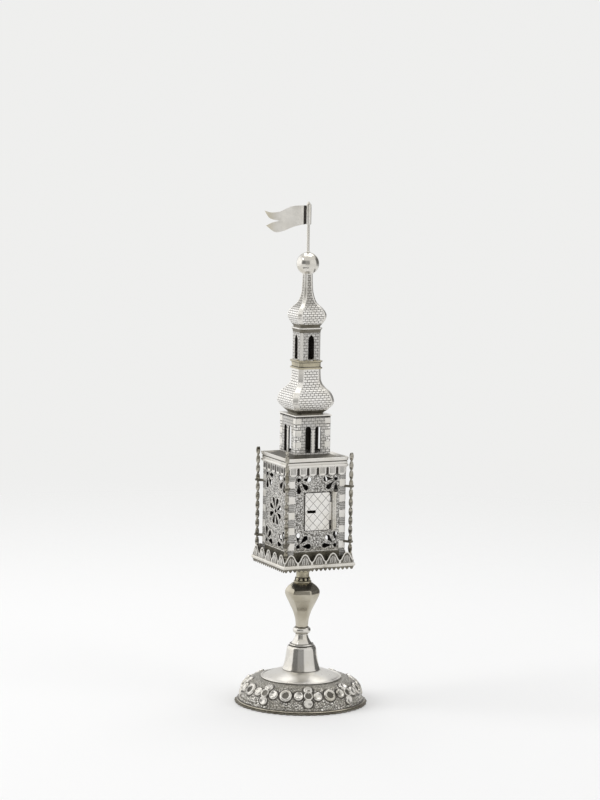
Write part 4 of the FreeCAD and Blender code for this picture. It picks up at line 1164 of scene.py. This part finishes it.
class TOWER_OT_domes(SpiceTowerPiece, bpy.types.Operator):
    """Onion domes, and the gallery and cornice between them"""

    bl_idname = "spice_tower.domes"
    bl_label = "Onion domes"

    def onion(self, name, node, base, shaded, stations):
        """Chamfered dome with brick engraving in its wide faces and a dark underside up to a height."""
        path = smooth_path([(half, base + z, chamfer) for z, half, chamfer in stations], 7)
        bm = bmesh.new()
        uv = flat_layer(bm)
        lofted([chamfered_ring(p.x, p.z, p.y) for p in path], bm, 1)
        length = 0.0
        lengths = {}
        for before, after in zip([path[0]] + path, path):
            length += hypot(after.x - before.x, after.y - before.y)
            lengths[round(after.y, 3)] = length
        faces = []
        for face in bm.faces:
            if len(face.verts) != 4:
                continue
            middle = face.calc_center_median()
            wide = max(abs(middle.x), abs(middle.y)) > 1.9 * min(abs(middle.x), abs(middle.y))
            for loop in face.loops:
                across = loop.vert.co.x if abs(middle.y) > abs(middle.x) else loop.vert.co.y
                loop[uv].uv = (across, lengths.get(round(loop.vert.co.z, 3), loop.vert.co.z))
            if wide:
                faces.append(face)
        result = bmesh.ops.inset_region(bm, faces=faces, thickness=0.55, depth=0.0, use_even_offset=True)
        for face in faces:
            face.material_index = 0
        for face in result["faces"]:
            face.material_index = 1
        layered(bm, (0, base + shaded, 2))
        collect(name, bm, ["bricks", "satin", "edge"], [node], sharp=30)

    def execute(self, context):
        self.onion("big_onion_engraved", "big_onion", CAP_TOP, 2.6, [
            (0.0, 8.5, 2.8), (0.8, 8.7, 2.8), (3.4, 11.4, 3.0), (6.6, 13.25, 3.2), (9.6, 13.1, 3.3),
            (13.0, 11.7, 3.2), (16.0, 9.1, 3.1), (18.8, 7.6, 3.0), (22.5, 7.2, 3.0), (26.6, 7.1, 3.0)])
        self.onion("small_onion_engraved", "small_onion", CORNICE_TOP, 2.2, [
            (0.0, 6.4, 2.0), (0.9, 6.5, 2.0), (3.5, 8.2, 2.2), (6.3, 9.15, 2.3), (8.9, 8.8, 2.2),
            (11.5, 7.3, 2.0), (13.6, 5.4, 1.8), (15.8, 4.15, 1.7), (20.5, 3.0, 1.4), (25.5, 2.65, 1.25),
            (31.5, 2.5, 1.2)])
        self.gallery()
        self.cornice()
        self.cap()
        return {"FINISHED"}

    def gallery(self):
        base, half = BIG_ONION_TOP, 7.1
        wide = half + 0.7
        stations = [(half - 0.2, base), (wide - 0.15, base + 0.05), (wide, base + 0.5),
                    (wide - 0.15, base + 0.95), (half, base + 1.05), (half - 0.05, base + 1.5),
                    (half - 0.1, base + 2.4), (half + 0.05, GALLERY_TOP - 1.3), (half + 0.1, GALLERY_TOP - 0.95),
                    (wide - 0.1, GALLERY_TOP - 0.85), (wide, GALLERY_TOP - 0.7), (wide, GALLERY_TOP - 0.1),
                    (wide - 0.1, GALLERY_TOP)]
        bm = lofted([chamfered_ring(h, 2.6, z) for h, z in stations])
        # The narrow faces in the crease above the lower lip and under the upper lip take the dark finish as
        # painted shade.
        layered(bm, (base + 0.98, base + 1.4, 1), (GALLERY_TOP - 1.29, GALLERY_TOP - 0.86, 1))
        reach = TURRET_HALF * 1.03
        solder = ((200, 0.2, 0.75), (245, 0.1, 0.9), (262, 0.15, 0.55), (292, 0.2, 1.0), (330, 0.1, 0.6),
                  (25, 0.1, 0.8), (95, 0.2, 0.9), (150, 0.1, 0.6))
        for angle, height, size in solder:
            verts = bmesh.ops.create_icosphere(bm, subdivisions=2, radius=size)["verts"]
            for vert in verts:
                vert.co *= 1 + 0.35 * noise.noise(vert.co * 1.3 + Vector((angle, 0, 0)))
            bmesh.ops.scale(bm, vec=(1, 1, 0.75), verts=verts)
            place = (reach * cos(radians(angle)), reach * sin(radians(angle)), GALLERY_TOP + height)
            bmesh.ops.translate(bm, verts=verts, vec=place)
        collect("upper_gallery_moulded", bm, ["straw", "edge"], ["upper_gallery"])

    def cornice(self):
        half = TURRET_HALF
        stations = [(half + 0.05, TURRET_TOP), (half + 0.1, TURRET_TOP + 0.5), (half + 0.2, TURRET_TOP + 1.2),
                    (half + 0.45, TURRET_TOP + 1.8), (half + 0.65, CORNICE_TOP - 0.9),
                    (half + 0.8, CORNICE_TOP - 0.8), (half + 0.8, CORNICE_TOP - 0.1),
                    (half + 0.7, CORNICE_TOP)]
        bm = lofted([chamfered_ring(h, 2.3, z) for h, z in stations])
        # Everything below the top band takes the dark finish as painted shade under the cornice's overhang.
        layered(bm, (0, CORNICE_TOP - 0.82, 1))
        collect("upper_cornice_moulded", bm, ["satin", "edge"], ["upper_cornice"])

    def cap(self):
        half = high("lower_cap").x
        bottom = low("lower_cap").z
        stations = [(half - 0.15, bottom), (half, bottom + 0.12), (half, CAP_TOP - 0.12),
                    (half - 0.15, CAP_TOP)]
        bm = lofted([square_ring(h, z) for h, z in stations])
        collect("lower_cap_rounded", bm, ["satin"], ["lower_cap"])


class TOWER_OT_finial(SpiceTowerPiece, bpy.types.Operator):
    """Ball, pole and pennant"""

    bl_idname = "spice_tower.finial"
    bl_label = "Finial and pennant"

    def execute(self, context):
        self.ball()
        self.pole()
        self.pennant()
        return {"FINISHED"}

    def ball(self):
        centre = SMALL_ONION_TOP + sqrt(BALL_RADIUS ** 2 - 3.3 ** 2)
        start, end = -pi / 2 + 0.514, pi / 2 - 0.12
        swings = [start + (end - start) * k / 40 for k in range(41)]
        path = [(BALL_RADIUS * cos(t), centre + BALL_RADIUS * sin(t)) for t in swings]
        bm = spun([(0, SMALL_ONION_TOP)] + path + [(0.83, BALL_TOP), (0, BALL_TOP)], 96)
        for vert in bm.verts:
            dent = noise.noise(vert.co * 0.16) * 0.06
            vert.co.x *= 1 + dent * 0.12
            vert.co.y *= 1 + dent * 0.12
        collect("finial_ball_raised", bm, ["bright"], ["finial_ball"])

    def pole(self):
        top = high("flag_pole").z
        path = profile(
            (0, BALL_TOP), [(1.35, BALL_TOP - 0.05)],
            [(1.25, BALL_TOP + 0.35), (0.85, BALL_TOP + 0.6)],
            [(0.83, SLEEVE_LOW)], [(0.5, SLEEVE_LOW)], [(0.5, SLEEVE_TOP + 0.1)],
            [(0.85, SLEEVE_TOP + 0.35), (0.95, SLEEVE_TOP + 0.9), (0.7, SLEEVE_TOP + 1.5), (0.25, top - 0.3),
             (0, top)])
        collect("flag_pole_turned", spun(path, 32), ["wire"], ["flag_pole"])

    def pennant(self):
        outline = []
        last = (0.0, 0.0)
        edges = (((9.1, 0.5), (16.7, 4.0)), ((21.7, 4.6), (25.9, 3.5)), ((22.8, 7.9), (17.2, 9.4)),
                 ((21.2, 10.5), (24.9, 12.3)), ((19.5, 16.1), (14.1, 15.2)), ((8.0, 12.4), (0.0, 10.6)))
        for middle, end in edges:
            path = smooth_path([last, middle, end], 6)
            outline += [(p.x, SLEEVE_TOP - p.y) for p in path[:-1]]
            last = end
        outline = [(max(x, 1.3), z) for x, z in outline] + [(1.3, SLEEVE_TOP - 10.6)]
        bm = bmesh.new()
        bm.faces.new([bm.verts.new((x, 0, z)) for x, z in outline])
        cuts = [((step * 0.5, 0, 0), (1, 0, 0)) for step in range(1, 52)]
        cuts += [((0, 0, SLEEVE_TOP - step * 0.5), (0, 0, 1)) for step in range(1, 34)]
        for place, direction in cuts:
            bmesh.ops.bisect_plane(bm, geom=bm.verts[:] + bm.edges[:] + bm.faces[:], plane_co=place,
                                   plane_no=direction)
        reach = 26.3
        for vert in bm.verts:
            share = vert.co.x / reach
            drop = (SLEEVE_TOP - vert.co.z) / 15.0
            wave = 1.3 * sin(2 * pi * share)
            ripple = 0.18 * noise.noise(Vector((vert.co.x * 0.35, 0.0, vert.co.z * 0.3)))
            vert.co.y = wave + (ripple - 0.5 * share * share * (drop - 0.5)) * min(1.0, share * 3)
        bmesh.ops.recalc_face_normals(bm, faces=bm.faces[:])
        bmesh.ops.solidify(bm, geom=bm.faces[:], thickness=0.36)
        bmesh.ops.translate(bm, verts=bm.verts[:], vec=(0, 0.18, 0))
        # Painted shadow: a dark strip on the root of the leaf beside the sleeve.
        for face in bm.faces:
            if face.calc_center_median().x < 2.8:
                face.material_index = 1
        turned_bm(bm, 155)
        collect("flag_leaf_waved", bm, ["leaf", "recess"], ["flag_leaf"],
                body="flag", sharp=60)
        path = profile(
            (0.55, SLEEVE_LOW), [(1.4, SLEEVE_LOW)],
            [(1.6, SLEEVE_LOW + 0.2), (1.6, SLEEVE_TOP - 0.2), (1.4, SLEEVE_TOP)],
            [(0.55, SLEEVE_TOP)], [(0.55, SLEEVE_LOW)])
        collect("flag_sleeve_rolled", spun(path, 32), ["satin"], ["flag_sleeve"], body="flag")


class TOWER_OT_plain_nodes(SpiceTowerPiece, bpy.types.Operator):
    """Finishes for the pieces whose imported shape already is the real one"""

    bl_idname = "spice_tower.plain_nodes"
    bl_label = "Plain pieces"

    def execute(self, context):
        # The roof plate takes the dark finish as a painted dark reflection.
        finishes = {"base_plate": "satin", "roof_plate": "smoke_and_shade", "hinge_strap": "wire", "hinge_pin": "wire"}
        for node, finish in finishes.items():
            mesh = NODES[node].data
            mesh.materials.clear()
            mesh.materials.append(MATERIALS[finish])
        return {"FINISHED"}


class TOWER_OT_stage(bpy.types.Operator):
    """Pale floor, soft lamps, cards that the silver mirrors, and the camera"""

    bl_idname = "spice_tower.stage"
    bl_label = "Stage"

    camera_side: FloatProperty(name="Camera side", description="Direction of the camera round the tower",
                               default=radians(-25), subtype="ANGLE")
    camera_reach: FloatProperty(name="Camera reach", description="Level distance of the camera", default=1.7,
                                unit="LENGTH")
    camera_height: FloatProperty(name="Camera height", description="Height of the camera", default=0.3886,
                                 unit="LENGTH")

    # Fitted to the photograph, in its pixels
    focal_length = 2900.4
    picture_height = 800
    axis_aside = 5.6
    tilt_down = radians(6.958)
    roll = radians(0.936)

    def execute(self, context):
        self.floor()
        self.world()
        self.lamps()
        self.mirrored_room()
        self.camera()
        return {"FINISHED"}

    def spot(self, azimuth, reach, height):
        """Place round the tower, at an angle in degrees from the camera's side."""
        turn = self.camera_side + radians(azimuth)
        return Vector((sin(turn) * reach, -cos(turn) * reach, height))

    def floor(self):
        bm = bmesh.new()
        bmesh.ops.create_circle(bm, cap_ends=True, segments=96, radius=1.6)
        mesh = as_mesh("floor", bm)
        floor_piece = placed("floor", mesh)
        floor_piece.location = (0, 0, -0.0002)
        material = bpy.data.materials.new("pale_floor")
        mesh.materials.append(material)
        nodes = Nodes(material)
        place = nodes.add("TexCoord", output="Object")
        reach = nodes.add("VectorMath", {0: place}, "Value", operation="LENGTH")
        fade = nodes.add("MapRange", {0: reach, 1: 0.25, 2: 1.1}, interpolation_type="SMOOTHSTEP")
        diffuse = nodes.add("BsdfDiffuse", {"Color": (0.92, 0.92, 0.918)})
        clear = nodes.add("BsdfTransparent")
        nodes.add("OutputMaterial", {0: nodes.add("MixShader", {0: fade, 1: diffuse, 2: clear})})

    def world(self):
        """Pale surroundings for what is seen and mirrored, and a dimmer light for the rest."""
        world = bpy.data.worlds.new("studio")
        bpy.context.scene.world = world
        nodes = Nodes(world)
        direct = 0.0
        for ray in ("Camera", "Glossy", "Transmission"):
            this = nodes.add("LightPath", output=f"Is {ray} Ray")
            direct = nodes.add("Math", {0: direct, 1: this}, operation="MAXIMUM")
        given = nodes.add("Background", {"Color": (1, 1, 1), "Strength": 0.55})
        seen = nodes.add("Background", {"Color": (0.862, 0.862, 0.852), "Strength": 1.0})
        nodes.add("OutputWorld", {0: nodes.add("MixShader", {0: direct, 1: given, 2: seen})})

    def lamps(self):
        """Soft square lamps that look at the middle of the tower."""
        for name, azimuth, reach, height, size, power in (
                ("key_lamp", -80, 1.6, 1.0, 1.3, 14), ("fill_lamp", 60, 1.7, 0.9, 1.2, 6),
                ("top_lamp", 170, 0.5, 1.6, 1.4, 9)):
            data = bpy.data.lights.new(name, "AREA")
            data.shape = "SQUARE"
            data.size = size
            data.energy = power
            lamp = placed(name, data)
            lamp.location = self.spot(azimuth, reach, height)
            direction = Vector((0, 0, 0.14)) - lamp.location
            lamp.rotation_euler = direction.to_track_quat("-Z", "Y").to_euler()

    def strip(self, bm, reach, columns):
        """Part of an upright ring from (angle, ((height, shade), ...)) columns."""
        layer = bm.verts.layers.float["shade"]
        posts = []
        for angle, marks in columns:
            posts.append([bm.verts.new(self.spot(angle, reach, height)) for height, _ in marks])
            for vert, (_, shade) in zip(posts[-1], marks):
                vert[layer] = shade
        for first, second in zip(posts, posts[1:]):
            for corners in zip(first, second, second[1:], first[1:]):
                bm.faces.new(corners)

    def mirrored_room(self):
        """Upright ring round the tower, seen only in the silver, with shades by direction and height."""
        bm = bmesh.new()
        bm.verts.layers.float.new("shade")
        shades = ((-180, 0.75, 0.75), (-152, 0.75, 0.75), (-146, 1.35, 1.2), (-68, 1.35, 1.2),
                  (-61, 0.14, 0.95), (-27, 0.14, 0.95), (-22, 0.32, 0.6), (17, 0.32, 0.6), (23, 0.92, 0.85),
                  (94, 0.92, 0.85), (102, 0.1, 0.35), (148, 0.1, 0.35), (158, 0.75, 0.6), (180, 0.75, 0.75))
        self.strip(bm, 1.15, [(angle, ((0.0, lower), (0.15, lower), (0.24, upper), (0.75, upper), (1.1, 0.8)))
                              for angle, upper, lower in shades])
        for run in (((-62, 0.14), (-27, 0.14), (-22, 0.32), (18, 0.32)), ((100, 0.1), (150, 0.1))):
            self.strip(bm, 0.28, [(angle, ((0.0, shade), (0.085, shade))) for angle, shade in run])
        mesh = as_mesh("mirrored_room", bm)
        material = bpy.data.materials.new("mirrored_room")
        mesh.materials.append(material)
        nodes = Nodes(material)
        shade = nodes.add("Attribute", output="Fac", attribute_name="shade")
        nodes.add("OutputMaterial", {0: nodes.add("Emission", {"Strength": shade})})
        room = placed("mirrored_room", mesh)
        for ray in ("camera", "diffuse", "shadow", "transmission"):
            setattr(room, f"visible_{ray}", False)

    def camera(self):
        data = bpy.data.cameras.new("camera")
        data.sensor_fit = "VERTICAL"
        data.sensor_height = 36.0
        data.lens = data.sensor_height * self.focal_length / self.picture_height
        data.clip_end = 20
        camera = placed("camera", data)
        aside = atan(self.axis_aside / self.focal_length)
        turn = Matrix.Rotation(self.camera_side + aside, 4, "Z")
        pitch = Matrix.Rotation(pi / 2 - self.tilt_down, 4, "X")
        roll = Matrix.Rotation(self.roll, 4, "Z")
        place = Matrix.Translation(self.spot(0, self.camera_reach, self.camera_height))
        camera.matrix_world = place @ turn @ pitch @ roll
        bpy.context.scene.camera = camera
        bpy.context.scene.view_settings.view_transform = "Standard"


class TOWER_PT_panel(bpy.types.Panel):
    """Spice tower controls"""

    bl_idname = "TOWER_PT_panel"
    bl_label = "Spice tower"
    bl_space_type = "VIEW_3D"
    bl_region_type = "UI"
    bl_category = "Spice tower"

    def draw(self, context):
        for group in ("tower_foot", "tower_box", "tower_finish"):
            holder = getattr(context.scene, group)
            box = self.layout.box()
            for key in holder.__annotations__:
                box.prop(holder, key)
        for operator in OPERATORS:
            self.layout.operator(operator.bl_idname)


GROUPS = {"tower_foot": TowerFootSizes, "tower_box": TowerBoxSizes, "tower_finish": TowerFinish}
OPERATORS = (TOWER_OT_foot, TOWER_OT_stem, TOWER_OT_base, TOWER_OT_walls, TOWER_OT_door, TOWER_OT_frieze,
             TOWER_OT_lanterns, TOWER_OT_domes, TOWER_OT_finial, TOWER_OT_plain_nodes, TOWER_OT_stage)


def register():
    for name, group in GROUPS.items():
        bpy.utils.register_class(group)
        setattr(bpy.types.Scene, name, PointerProperty(type=group))
    for cls in OPERATORS + (TOWER_PT_panel,):
        bpy.utils.register_class(cls)


def unregister():
    for cls in reversed(OPERATORS + (TOWER_PT_panel,)):
        bpy.utils.unregister_class(cls)
    for name, group in GROUPS.items():
        delattr(bpy.types.Scene, name)
        bpy.utils.unregister_class(group)


def main():
    register()
    make_finishes(bpy.context.scene.tower_finish)
    for operator in OPERATORS:
        group, name = operator.bl_idname.split(".")
        getattr(getattr(bpy.ops, group), name)()


if __name__ == "__main__":
    main()
